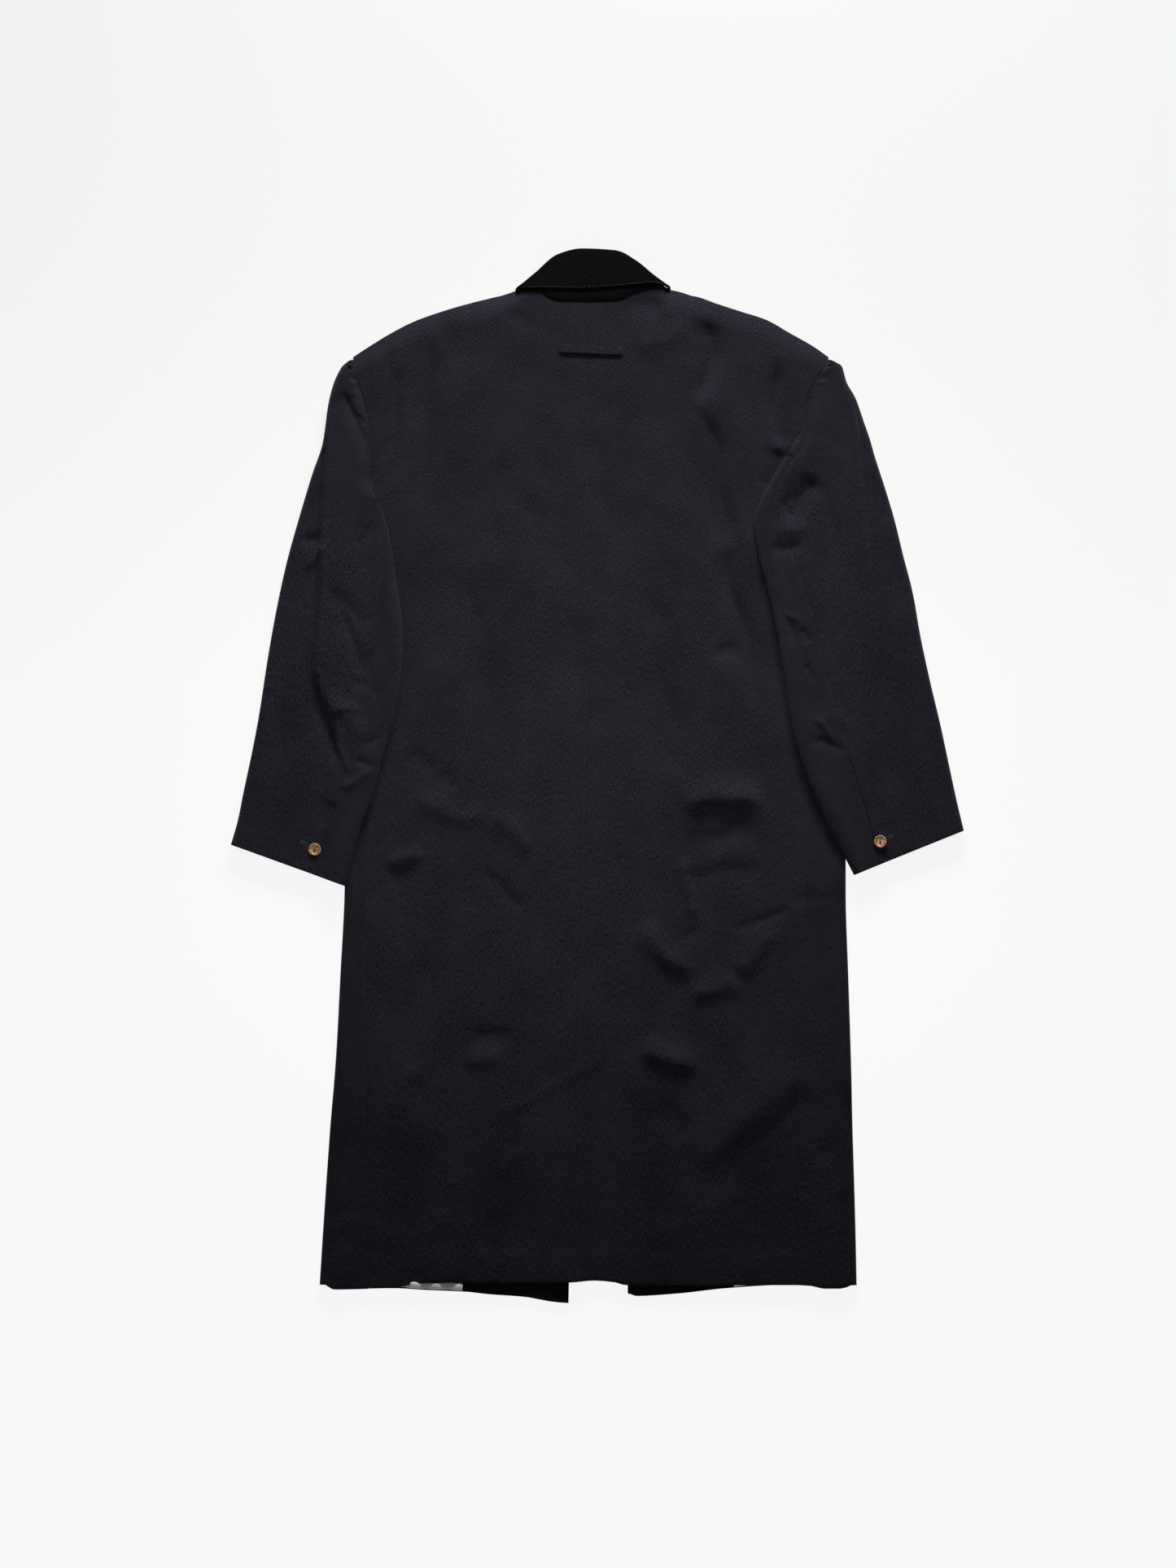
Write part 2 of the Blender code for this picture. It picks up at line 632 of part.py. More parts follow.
def collar_ring(u):
    """Station u of the collar, from 0 to 1, with the outward direction across its ring."""
    row = u * (len(COLLAR["x"]) - 1)
    values = {name: read_row(COLLAR, name, row) for name in COLLAR}
    before, after = max(row - 0.2, 0), min(row + 0.2, len(COLLAR["x"]) - 1)
    along_x = read_row(COLLAR, "x", after) - read_row(COLLAR, "x", before)
    along_z = read_row(COLLAR, "height", after) - read_row(COLLAR, "height", before)
    length = math.hypot(along_x, along_z)
    values["out_x"], values["out_z"] = -along_z / length, along_x / length
    return values


def stand_point(ring, y):
    """Point of the stand's middle at station ring and at y, from the neck seam to the fold."""
    over_back = smooth_step((ring["height"] - 10) / 6)
    neck = body_height(ring["x"], ring["seam_y"]) + LAYER_GAP + COLLAR_WALL / 2
    neck = mix(ring["height"], neck, over_back)
    share = (y - ring["seam_y"]) / (ring["fold_y"] - ring["seam_y"])
    return ring["x"], y, mix(neck, ring["height"], smooth_step(share))


def make_collar_stand():
    across, along = 30, 3

    def place(i, j):
        ring = collar_ring(i / across)
        top = ring["fold_y"] - 2 * COLLAR_ROLL - 0.2
        return stand_point(ring, mix(ring["seam_y"], top, j / along))

    return cloth("collar_stand", across, along, place, COLLAR_WALL, velvet)


def make_collar_leaf():
    """The leaf starts at its free edge, lies over the stand and rolls in at the fold line."""
    across, flat_cells, roll_cells = 30, 3, 3

    def place(i, j):
        ring = collar_ring(i / across)
        roll_y = ring["fold_y"] - COLLAR_ROLL
        if j <= flat_cells:
            y = mix(min(ring["edge_y"], roll_y - 1), roll_y, j / flat_cells)
            offset = LEAF_OFFSET
        else:
            angle = math.pi * (j - flat_cells) / roll_cells
            y = roll_y + COLLAR_ROLL * math.sin(angle)
            offset = LEAF_OFFSET / 2 * (1 + math.cos(angle))
        x, _, z = stand_point(ring, min(y, ring["fold_y"]))
        return x + ring["out_x"] * offset, y, z + ring["out_z"] * offset

    return cloth("collar_leaf", across, flat_cells + roll_cells, place, COLLAR_WALL, velvet)


def make_locker_tab():
    """A plain strip of the coat's cloth, stitched down at both ends below the neck seam."""
    across, along = 12, 2

    def place(i, j):
        x = TAB_MIDDLE[0] + TAB_LENGTH * (i / across - 0.5)
        y = TAB_MIDDLE[1] + TAB_SLOPE * (x - TAB_MIDDLE[0]) + TAB_WIDTH * (j / along - 0.5)
        bow = 0.8 * math.sin(math.pi * i / across)
        height = body_height(x, y) + LAYER_GAP + TAB_WALL / 2 + bow
        return x, y, height

    return cloth("locker_tab", across, along, place, TAB_WALL, wool)


def make_cuff_button(side, row, share):
    """A turned horn button with a raised rim, lying on the cuff beside the hind seam."""
    radius = BUTTON_DIAMETER / 2
    thick = BUTTON_THICKNESS
    profile = (
        (0, thick - 0.8), (radius - BUTTON_RIM - 1, thick - 0.7), (radius - BUTTON_RIM, thick),
        (radius - 0.6, thick - 0.1), (radius, thick - 0.9), (radius - 0.5, 0.8),
        (radius - 2.5, 0), (0, 0),
    )
    mesh = bpy.data.meshes.new("cuff_button_" + side)
    points = [(r * MM, 0, z * MM) for r, z in profile]
    mesh.from_pydata(points, [(i, i + 1) for i in range(len(points) - 1)], [])
    button = bpy.data.objects.new("cuff_button_" + side, mesh)
    coat.objects.link(button)
    turned = button.modifiers.new("Turned", "SCREW")
    turned.steps = turned.render_steps = BUTTON_STEPS
    turned.use_merge_vertices = True
    turned.merge_threshold = 0.00001
    mesh.materials.append(horn)
    sign = SIDES[side]
    here = np.array(sleeve_top(side, row, share))
    rim = []
    for step in range(12):
        angle = math.tau * step / 12
        reach = 0.7 * radius / sleeve_row(side, row)["width"]
        near = sleeve_top(side, row + 0.14 * math.sin(angle), share + reach * math.cos(angle))
        rim.append((sign * (near[0] - here[0]), near[1] - here[1], near[2] - here[2]))
    rim = np.array(rim)
    slope_x, slope_y = np.linalg.lstsq(rim[:, :2], rim[:, 2], rcond=None)[0]
    lift = max(rim[:, 2] - rim[:, :2] @ (slope_x, slope_y))
    height = here[2] + max(lift, 0) + SEAM_GAP
    button.location = (sign * here[0] * MM, here[1] * MM, height * MM)
    button.rotation_euler = (math.atan(slope_y), -math.atan(slope_x), 0)
    return button


for old in list(bpy.data.objects):
    bpy.data.objects.remove(old, do_unlink=True)

coat = bpy.data.collections.new("wool_overcoat")
bpy.context.scene.collection.children.link(coat)

wool = material("navy_wool", (0.016, 0.015, 0.020), 0.92)
velvet = material("black_velvet", (0.004, 0.004, 0.004), 0.95)
facing_cloth = material("black_facing", (0.005, 0.005, 0.006), 0.85)
satin = material("silver_grey_satin", (0.25, 0.25, 0.22), 0.42)
horn = material("brown_horn", (0.14, 0.06, 0.02), 0.35)

for side in SIDES:
    make_front(side)
    make_facing(side)
    make_lining(side)
    make_back(side)
    make_top_sleeve(side)
    make_under_sleeve(side)
make_collar_stand()
make_collar_leaf()
make_locker_tab()
make_cuff_button("left", 15.5, 0.32)
make_cuff_button("right", 15.65, 0.32)
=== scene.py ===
"""Wool overcoat laid flat on its front, back up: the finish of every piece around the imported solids.

The frame has +X to the viewer's right, +Y towards the collar and +Z up. Tables and functions work
in millimetres, and meshes in metres. "Out" is a distance from x = 0 towards the sleeve on the same
side, so one function serves both sides.
"""

import math

import bpy
import numpy as np
from mathutils import Euler, Matrix, Vector


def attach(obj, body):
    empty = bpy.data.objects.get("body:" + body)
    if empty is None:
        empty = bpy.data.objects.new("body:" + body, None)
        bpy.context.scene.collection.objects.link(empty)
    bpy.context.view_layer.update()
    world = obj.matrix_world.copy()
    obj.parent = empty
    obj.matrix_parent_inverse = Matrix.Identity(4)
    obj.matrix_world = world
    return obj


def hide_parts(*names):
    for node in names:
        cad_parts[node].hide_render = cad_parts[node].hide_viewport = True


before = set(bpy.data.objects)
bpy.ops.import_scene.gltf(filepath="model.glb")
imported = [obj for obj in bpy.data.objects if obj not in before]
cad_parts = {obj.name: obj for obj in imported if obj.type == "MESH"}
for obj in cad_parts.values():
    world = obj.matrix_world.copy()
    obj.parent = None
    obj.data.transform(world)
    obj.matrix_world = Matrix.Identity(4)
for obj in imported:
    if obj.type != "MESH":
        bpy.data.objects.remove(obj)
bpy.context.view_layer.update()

# The studio: a plain pale floor, one soft light beyond the collar and low over the coat, a small
# one overhead that reaches no further than the hips, a fainter one from the hem's side and an even
# sky. The camera looks straight down at the coat, collar at the top, past the overhead lamp.

MM = 0.001
FLOOR_SIZE = 9
FLOOR_BELOW_CLOTH = 0.0004

# The floor's own glow from y = -1 m, at 0, to y = 1 m, at 1: less where the window lights it more.
FLOOR_GLOW = ((0, 0.9), (0.25, 0.89), (0.4, 0.88), (0.55, 0.86), (0.72, 0.81), (1, 0.72))


def node(tree, kind, inputs=(), **settings):
    """A shader node with its settings, and each input linked to a socket or given a value."""
    made = tree.nodes.new("ShaderNode" + kind)
    for name, value in settings.items():
        setattr(made, name, value)
    for name, value in dict(inputs).items():
        if isinstance(value, bpy.types.NodeSocket):
            tree.links.new(value, made.inputs[name])
        else:
            made.inputs[name].default_value = value
    return made


def new_finish(name, roughness):
    """A material that is still plain, with its node tree and its shader."""
    finish = bpy.data.materials.new(name)
    finish.use_nodes = True
    shader = finish.node_tree.nodes["Principled BSDF"]
    shader.inputs["Roughness"].default_value = roughness
    return finish, finish.node_tree, shader


def paper_finish():
    """Matt white paper that glows a little, so that it shows evenly pale."""
    finish, tree, shader = new_finish("pale_paper", 0.9)
    shader.inputs["Base Color"].default_value = (0.14, 0.14, 0.136, 1)
    shader.inputs["Specular IOR Level"].default_value = 0.1
    shader.inputs["Emission Strength"].default_value = 1
    where = node(tree, "TexCoord")
    split = node(tree, "SeparateXYZ", {0: where.outputs["Object"]})
    along = node(tree, "MapRange", {"Value": split.outputs["Y"], "From Min": -1})
    glow = node(tree, "ValToRGB", {"Fac": along.outputs[0]})
    for place, level in FLOOR_GLOW:
        if place in (0, 1):
            stop = glow.color_ramp.elements[-place]
        else:
            stop = glow.color_ramp.elements.new(place)
        stop.color = (level, level, level, 1)
    tree.links.new(glow.outputs["Color"], shader.inputs["Emission Color"])
    return finish


bpy.ops.object.select_all(action="DESELECT")
bpy.ops.mesh.primitive_plane_add(size=FLOOR_SIZE, location=(0, 0, -FLOOR_BELOW_CLOTH))
floor = bpy.context.object
floor.name = "floor"
floor.data.materials.append(paper_finish())


def area_light(name, place, aim, size, power):
    """A rectangular lamp at a place, turned to face the aim."""
    lamp = bpy.data.lights.new(name, "AREA")
    lamp.shape = "RECTANGLE"
    lamp.size, lamp.size_y = size
    lamp.energy = power
    holder = bpy.data.objects.new(name, lamp)
    bpy.context.scene.collection.objects.link(holder)
    holder.location = place
    away = np.array(place) - np.array(aim)
    flat = math.hypot(away[0], away[1])
    holder.rotation_euler = (math.atan2(flat, away[2]), 0, math.atan2(away[0], -away[1]))
    return holder


area_light("window", place=(0.16, 2.18, 0.76), aim=(0, 0, 0), size=(1.1, 0.4), power=68)
area_light("fill", place=(-0.6, -1.8, 2.6), aim=(0, -0.1, 0), size=(2.4, 1.6), power=3)
overhead = area_light("overhead", place=(-0.03, 0.08, 1.3), aim=(-0.03, 0.07, 0),
                      size=(0.5, 0.5), power=0.5)
overhead.data.spread = math.radians(50)
overhead.visible_camera = False
sky = bpy.data.worlds.new("soft_sky")
sky.use_nodes = True
sky.node_tree.nodes["Background"].inputs["Color"].default_value = (1, 1, 1, 1)
sky.node_tree.nodes["Background"].inputs["Strength"].default_value = 0.08
bpy.context.scene.world = sky
bpy.context.scene.view_settings.view_transform = "Standard"

LENS_MM = 120
SENSOR_MM = 36
VIEW_LENGTH = 1.7912
VIEW_MIDDLE = (-0.0107, -0.0084)
VIEW_LEVEL = 0.008
view = bpy.data.cameras.new("above")
view.lens = LENS_MM
view.sensor_width = SENSOR_MM
camera = bpy.data.objects.new("above", view)
camera.location = (*VIEW_MIDDLE, VIEW_LENGTH * LENS_MM / SENSOR_MM + VIEW_LEVEL)
bpy.context.scene.collection.objects.link(camera)
bpy.context.scene.camera = camera

# The coat's cloth: a thick navy melton, fulled so that no weave shows, with a short matt nap, a
# little lint, and a soft cloudiness where the nap lies another way.


def nap_group():
    """Nap over a piece's own cut: grain, fibres along the length, clouds and specks of lint."""
    group = bpy.data.node_groups.new("Nap", "ShaderNodeTree")
    for name, way, kind in (("Vector", "INPUT", "Vector"), ("Dark", "INPUT", "Color"),
                            ("Light", "INPUT", "Color"), ("Lint", "INPUT", "Color"),
                            ("Colour", "OUTPUT", "Color"), ("Height", "OUTPUT", "Float")):
        group.interface.new_socket(name, in_out=way, socket_type="NodeSocket" + kind)
    given = group.nodes.new("NodeGroupInput")
    where = given.outputs["Vector"]
    grain = node(group, "TexNoise", {"Vector": where, "Scale": 620, "Detail": 2, "Roughness": 0.7})
    combed = node(group, "Mapping", {"Vector": where, "Scale": (900, 230, 1)})
    fibre = node(group, "TexNoise", {"Vector": combed.outputs[0], "Scale": 1, "Detail": 3})
    cloud = node(group, "TexNoise", {"Vector": where, "Scale": 14, "Detail": 4, "Roughness": 0.6})
    mixed = node(group, "Math", {0: grain.outputs["Fac"], 1: fibre.outputs["Fac"]}, operation="ADD")
    nap = node(group, "MapRange", {"Value": mixed.outputs[0], "From Min": 0.8, "From Max": 1.2})
    clouds = node(group, "MapRange", {"Value": cloud.outputs["Fac"], "From Min": 0.3,
                                      "From Max": 0.7, "To Min": -0.16, "To Max": 0.16})
    patch = node(group, "TexNoise", {"Vector": where, "Scale": 4.5, "Detail": 3, "Roughness": 0.5})
    patches = node(group, "MapRange", {"Value": patch.outputs["Fac"], "From Min": 0.3,
                                       "From Max": 0.7, "To Min": -0.08, "To Max": 0.08})
    shades = node(group, "Math", {0: nap.outputs[0], 1: clouds.outputs[0]}, operation="ADD")
    shade = node(group, "Math", {0: shades.outputs[0], 1: patches.outputs[0]}, operation="ADD",
                 use_clamp=True)
    cloth_colour = node(group, "Mix", {"Factor": shade.outputs[0], "A": given.outputs["Dark"],
                                       "B": given.outputs["Light"]}, data_type="RGBA")
    cells = node(group, "TexVoronoi", {"Vector": where, "Scale": 8.5, "Randomness": 1})
    speck = node(group, "MapRange", {"Value": cells.outputs["Distance"], "From Min": 0.004,
                                     "From Max": 0.009, "To Min": 1, "To Max": 0})
    few = node(group, "SeparateColor", {"Color": cells.outputs["Color"]})
    some = node(group, "Math", {0: few.outputs[0], 1: 0.78}, operation="GREATER_THAN")
    lint = node(group, "Math", {0: speck.outputs[0], 1: some.outputs[0]}, operation="MULTIPLY")
    colour = node(group, "Mix", {"Factor": lint.outputs[0], "A": cloth_colour.outputs["Result"],
                                 "B": given.outputs["Lint"]}, data_type="RGBA")
    put = group.nodes.new("NodeGroupOutput")
    group.links.new(colour.outputs["Result"], put.inputs["Colour"])
    group.links.new(nap.outputs[0], put.inputs["Height"])
    return group


nap = nap_group()


def napped(name, dark, light, lint, roughness, specular, sheen, bump):
    """A napped cloth: its colours and bump from the nap, and its sheen from the shader.

    Sheen is a weight, a roughness and a tint.
    """
    finish, tree, shader = new_finish(name, roughness)
    shader.inputs["Specular IOR Level"].default_value = specular
    shader.inputs["Sheen Weight"].default_value = sheen[0]
    shader.inputs["Sheen Roughness"].default_value = sheen[1]
    shader.inputs["Sheen Tint"].default_value = (*sheen[2], 1)
    where = node(tree, "TexCoord")
    surface = node(tree, "Group", node_tree=nap)
    tree.links.new(where.outputs["UV"], surface.inputs["Vector"])
    for socket, colour in (("Dark", dark), ("Light", light), ("Lint", lint)):
        surface.inputs[socket].default_value = (*colour, 1)
    raised = node(tree, "Bump", {"Height": surface.outputs["Height"], "Distance": bump,
                                 "Strength": 0.6})
    tree.links.new(surface.outputs["Colour"], shader.inputs["Base Color"])
    tree.links.new(raised.outputs["Normal"], shader.inputs["Normal"])
    return finish


melton = napped("navy_melton", dark=(0.0042, 0.0037, 0.0082), light=(0.0279, 0.026, 0.036),
                lint=(0.11, 0.11, 0.11), roughness=0.9, specular=0.12,
                sheen=(0.035, 0.55, (0.8, 0.8, 0.95)), bump=0.0009)

# The two halves of the back: they meet at the centre-back seam and run out to the armholes and
# side seams, with a turned-up hem. Melton cut in two, lying on the fronts in soft uneven folds.

CLOTH_WALL = 2.0
SEAM_GAP = 0.3
SEAM_PRESS = 0.06
SEAM_DIP = 0.25
SEAM_DIP_REACH = 2.4
SHOULDER_Y = 477
UNDERARM_Y = 232
HEM_Y = -585
ROLL_DEPTH = 26
SEAM_HEIGHT_BACK = 7.7
LEAST_HEIGHT = 6.2
HEM_TURNING = 38
HEM_STEP = 3.5
HEM_RAISED = 0.45
NECK_MIDDLE_X = -5
SIDES = {"left": -1, "right": 1}


def table(columns, *rows):
    """Rows of numbers under named columns, kept as one array for each column."""
    return dict(zip(columns.split(), np.array(rows, float).T))


# Upper edge of the body in plan, from shoulder point to shoulder point, with the neck between.
LEFT_SHOULDER = (
    (-279, 479), (-264, 489), (-236, 506), (-208, 520), (-180, 530), (-153, 538), (-125, 545),
)
RIGHT_SHOULDER = (
    (108, 549), (136, 540), (164, 531), (192, 522), (219, 507), (247, 491), (264, 479),
)
TOP_LINE = table(
    "x y",
    *LEFT_SHOULDER,
    (-102, 551.5), (-92, 555), (-84, 557), (-71, 558), (-45, 547), (-11, 543), (20, 545),
    (43, 556), (60, 560), (72, 558.5), (80, 556.5), (90, 554.5), (96, 553),
    *RIGHT_SHOULDER,
)
BACK_HEM = table(
    "x y",
    (-264, -585), (-236, -584), (-200, -579), (-166, -578), (-32, -578), (-4, -576), (20, -578),
    (32, -581), (225, -581),
)

# Lengthwise lines of the body at each height y: the centre-back seam, the edges of both fronts,
# and on each side, as distances out, the fold (above the underarm, the front's armhole) and
# the side seam (above the underarm, the back's armhole).
BODY_LINES = table(
    "y centre front_left front_right fold_left fold_right seam_left seam_right",
    (560, -11, -24, 12, 279, 264, 279, 264),
    (477, -11, -22, 12, 279, 264, 279, 264),
    (464, -11, -20, 11, 275, 259, 278, 257),
    (449, -11, -19, 10, 270, 252, 273, 247),
    (425, -11, -16, 8, 261, 243, 265, 237),
    (400, -11, -14, 6, 253, 235, 260, 234),
    (386, -11, -13, 5, 250, 232, 259, 226),
    (366, -11, -12, 4, 248, 230, 258, 222),
    (330, -11, -11, 3, 247, 229, 257, 225),
    (283, -11, -11, 3, 253, 237, 256, 233),
    (232, -11, -12, 4, 268, 255, 264, 251),
    (194, -11, -13, 5, 277, 272, 264, 248),
    (143, -11, -15, 7, 283, 279, 265, 247),
    (50, -13, -18, 12, 286, 282, 267, 244),
    (-50, -15, -20, 15, 287, 283, 267, 241),
    (-128, -15, -22, 18, 288, 283, 267, 238),
    (-229, -16, -25, 22, 293, 286, 265, 234),
    (-322, -18, -27, 26, 298, 289, 264, 230),
    (-407, -19, -29, 29, 305, 291, 264, 228),
    (-508, -21, -31, 33, 312, 294, 263, 226),
    (-602, -22, -33, 35, 318, 296, 262, 225),
)
BODY_HEIGHTS = table(
    "y middle side",
    (560, 17, 14), (477, 16, 14), (400, 14, 12), (300, 12, 11), (200, 11, 10), (0, 9.5, 9),
    (-300, 9, 8.5), (-450, 8.5, 8), (-600, 8, 7.5),
)

# The folds' depth as a share of the stated one, how much broader they are on their upper side than
# below, how keen their crests are, the round that is left on a crest, and the share of a fold's
# length over which each end dies away.
FOLD_DEPTH = 1.32
FOLD_LEAN = 0.12
FOLD_KEENNESS = 0.35
FOLD_CREST = 1.6
FOLD_FADE = 0.24

# The skirt sinks a little between the two fronts.
SKIRT_HOLLOW_X = 2
SKIRT_HOLLOW_DEPTH = 3.2
SKIRT_HOLLOW_REACH = 26

# Line out at each side along which a sleeve's inner fold presses the back down.
SLEEVE_PRESS_DEPTH = 4
SLEEVE_PRESS_REACH = 12
SLEEVE_PRESS = table(
    "y left right",
    (260, 238, 186), (219, 232, 192), (166, 225, 204), (111, 227, 214), (69, 234, 222),
    (20, 248, 234), (-20, 258, 246), (-62, 274, 268), (-125, 290, 296),
)

# Folds of the back, each along a curve through three points: a ridge, or with a negative height a
# trough. Shoulder blades and neck first, then the hip on each side, then the skirt.
BACK_FOLDS = table(
    "x0 y0 x1 y1 x2 y2 width height",
    (123, 530, 126, 478, 121, 422, 13, -6),
    (121, 430, 136, 339, 143, 250, 13, -6),
    (142, 262, 162, 190, 179, 84, 13, -4.4),
    (158, 500, 162, 300, 176, 143, 14, 3.4),
    (133, 145, 151, 140, 169, 138, 9, -3),
    (203, 487, 206, 422, 207, 374, 9, -5.5),
    (207, 382, 205, 352, 197, 324, 12, -5),
    (33, 543, 54, 538, 78, 526, 13, -1.8),
    (39, 489, 73, 498, 113, 521, 14, 2.2),
    (-227, 469, -229, 417, -249, 355, 6, -3),
    (-242, 497, -238, 435, -255, 374, 6, -2),
    (-195, 508, -193, 422, -200, 292, 14, -3.4),
    (-168, 534, -172, 487, -173, 441, 9, -1.2),
    (-112, 530, -87, 523, -61, 515, 12, -1.2),
    (-37, 194, -17, 115, 4, 41, 24, -2.4),
    (61, 201, 86, 158, 110, 110, 17, -1.2),
    (-121, 366, -93, 326, -63, 283, 18, -1.2),
    (89, -28, 140, -24, 201, -32, 18, 6.5),
    (97, -67, 136, -71, 182, -58, 15, -3.5),
    (94, -111, 136, -110, 196, -107, 11, -2.2),
    (103, -90, 103, -125, 104, -166, 9, 3.6),
    (99, -175, 106, -178, 113, -179, 8, -2),
    (48, -162, 74, -203, 123, -217, 15, 4.6),
    (100, -240, 136, -244, 166, -229, 14, 3.6),
    (158, -234, 184, -199, 206, -169, 13, 3.4),
    (150, -184, 182, -164, 218, -145, 5, -2),
    (-60, 420, -110, 330, -128, 235, 16, -2.2),
    (-20, 400, 8, 330, 30, 262, 18, -1.8),
    (-150, 240, -138, 160, -122, 60, 14, -2),
    (66, 150, 86, 60, 90, -10, 16, -2),
    (218, -145, 243, -140, 275, -138, 5, -1),
    (46, -318, 82, -322, 119, -331, 15, 5),
    (61, -381, 85, -392, 108, -407, 13, -2.6),
    (240, -325, 182, -383, 110, -452, 26, 3.2),
    (249, -355, 196, -424, 143, -478, 24, -3.2),
    (252, -445, 263, -433, 273, -419, 6, -1.2),
    (268, -476, 279, -493, 286, -513, 7, -1.6),
    (154, -480, 169, -502, 182, -521, 6, -1),
    (178, -489, 192, -510, 208, -530, 6, -1),
    (-219, 22, -199, 17, -180, 11, 12, -2),
    (-180, 9, -169, -2, -162, -17, 12, -2.2),
    (-213, -20, -166, -43, -125, -50, 14, 3),
    (-128, -44, -99, -63, -74, -84, 14, 3.8),
    (-132, -104, -108, -128, -82, -153, 8, -2.2),
    (-241, -99, -219, -95, -195, -96, 11, 3.2),
    (-222, -104, -220, -154, -211, -216, 9, -4.4),
    (-212, -222, -199, -227, -184, -231, 14, -2.4),
    (-143, -303, -121, -299, -95, -290, 10, -2.2),
    (-149, -327, -128, -324, -108, -316, 12, 2.4),
    (-119, -381, -67, -363, 17, -316, 4, 1.0),
    (-221, -350, -210, -344, -197, -339, 7, 1.2),
    (-307, -413, -246, -458, -166, -480, 36, -4),
    (-309, -513, -275, -489, -234, -480, 7, -2.2),
    (-242, -480, -218, -480, -197, -485, 7, -1.6),
    (-259, -491, -231, -504, -206, -523, 5, -1.4),
    (-283, -510, -283, -525, -286, -541, 8, -1.6),
    (-180, -468, -164, -458, -147, -447, 5, 1),
    (-119, -459, -99, -443, -80, -420, 5, 1),
    (-136, -545, -101, -519, -63, -489, 18, -3.4),
    (12, -383, 16, -443, 24, -560, 8, -3.2),
    (-228, -582, -186, -584, -140, -582, 15, -1.6),
)


def smooth_step(t):
    t = np.clip(t, 0.0, 1.0)
    return t * t * (3 - 2 * t)


def rise(at, start, end):
    """0 up to the start and 1 from the end on, which may be the lower of the two."""
    return smooth_step((at - start) / (end - start))


def bell(away, reach):
    return np.exp(-((away / reach) ** 2))


def mix(a, b, t):
    return a + (b - a) * t


def read(rows, along, column, at):
    """Value of a column where `along` equals `at`, on a curve with no overshoot between rows."""
    x, y = rows[along], rows[column]
    if x[0] > x[-1]:
        x, y = x[::-1], y[::-1]
    at = np.clip(at, x[0], x[-1])
    step = np.diff(x)
    slope = np.diff(y) / step
    same = slope[:-1] * slope[1:] > 0
    total = np.where(same, slope[:-1] + slope[1:], 1)
    inner = np.where(same, 2 * slope[:-1] * slope[1:] / total, 0)
    tangent = np.concatenate([slope[:1], inner, slope[-1:]])
    i = np.clip(np.searchsorted(x, at, side="right") - 1, 0, len(x) - 2)
    t = (at - x[i]) / step[i]
    h = step[i]
    return (
        y[i] * (1 + 2 * t) * (1 - t) ** 2
        + tangent[i] * h * t * (1 - t) ** 2
        + y[i + 1] * t * t * (3 - 2 * t)
        - tangent[i + 1] * h * t * t * (1 - t)
    )


def body_line(name, y):
    return read(BODY_LINES, "y", name, y)


def creases(folds, x, y):
    """Sum of the folds at each point: a bell curve across each, dying away towards its ends."""
    x, y = np.broadcast_arrays(np.asarray(x, float), np.asarray(y, float))
    x, y = (x + 3 * np.sin(y / 17 + 1.3) + 1.8 * np.sin(x / 9 + y / 23),
            y + 3 * np.sin(x / 15 + 0.5) + 1.8 * np.sin(x / 8 - y / 19))
    total = np.zeros(x.shape)
    steps = 8
    t = np.linspace(0, 1, steps + 1)
    for x0, y0, x1, y1, x2, y2, width, height in zip(*folds.values()):
        middle_x, middle_y = 2 * x1 - (x0 + x2) / 2, 2 * y1 - (y0 + y2) / 2
        line_x = (1 - t) ** 2 * x0 + 2 * t * (1 - t) * middle_x + t * t * x2
        line_y = (1 - t) ** 2 * y0 + 2 * t * (1 - t) * middle_y + t * t * y2
        limit = 3 * width
        near = (x > line_x.min() - limit) & (x < line_x.max() + limit)
        near &= (y > line_y.min() - limit) & (y < line_y.max() + limit)
        if not near.any():
            continue
        px, py = x[near], y[near]
        best, share, lean = np.full(px.shape, 1e9), np.zeros(px.shape), np.zeros(px.shape)
        for k in range(steps):
            dx, dy = line_x[k + 1] - line_x[k], line_y[k + 1] - line_y[k]
            s = ((px - line_x[k]) * dx + (py - line_y[k]) * dy) / (dx * dx + dy * dy)
            s = np.clip(s, 0, 1)
            off_x, off_y = px - line_x[k] - s * dx, py - line_y[k] - s * dy
            away = np.hypot(off_x, off_y)
            closer = away < best
            best = np.where(closer, away, best)
            share = np.where(closer, (k + s) / steps, share)
            lean = np.where(closer, (0.35 * off_x + 0.94 * off_y) / np.maximum(away, 1), lean)
        fade = rise(share, 0, FOLD_FADE) * rise(share, 1, 1 - FOLD_FADE)
        reach = width * (1 + FOLD_LEAN * math.copysign(1, height) * lean)
        soft = bell(best, reach)
        keen = np.exp(-2 * (np.hypot(best, FOLD_CREST) - FOLD_CREST) / reach)
        total[near] += FOLD_DEPTH * height * fade * mix(soft, keen, FOLD_KEENNESS)
    return total


def swell(x, y):
    """Long shallow waves that no laid-out cloth is without."""
    return (
        0.9 * np.sin(x / 31 + y / 57 + 0.7) * np.sin(y / 47 - x / 83 + 1.9)
        + 0.5 * np.sin(x / 19 - y / 36 + 2.1) * np.sin(y / 29 + x / 71)
        + 0.25 * np.sin(x / 11 + y / 23 + 4) * np.sin(y / 13 - x / 27 + 1)
        + 0.09 * np.sin(x / 5.5 - y / 17 + 2) * np.sin(y / 7 + x / 15 + 3)
    )


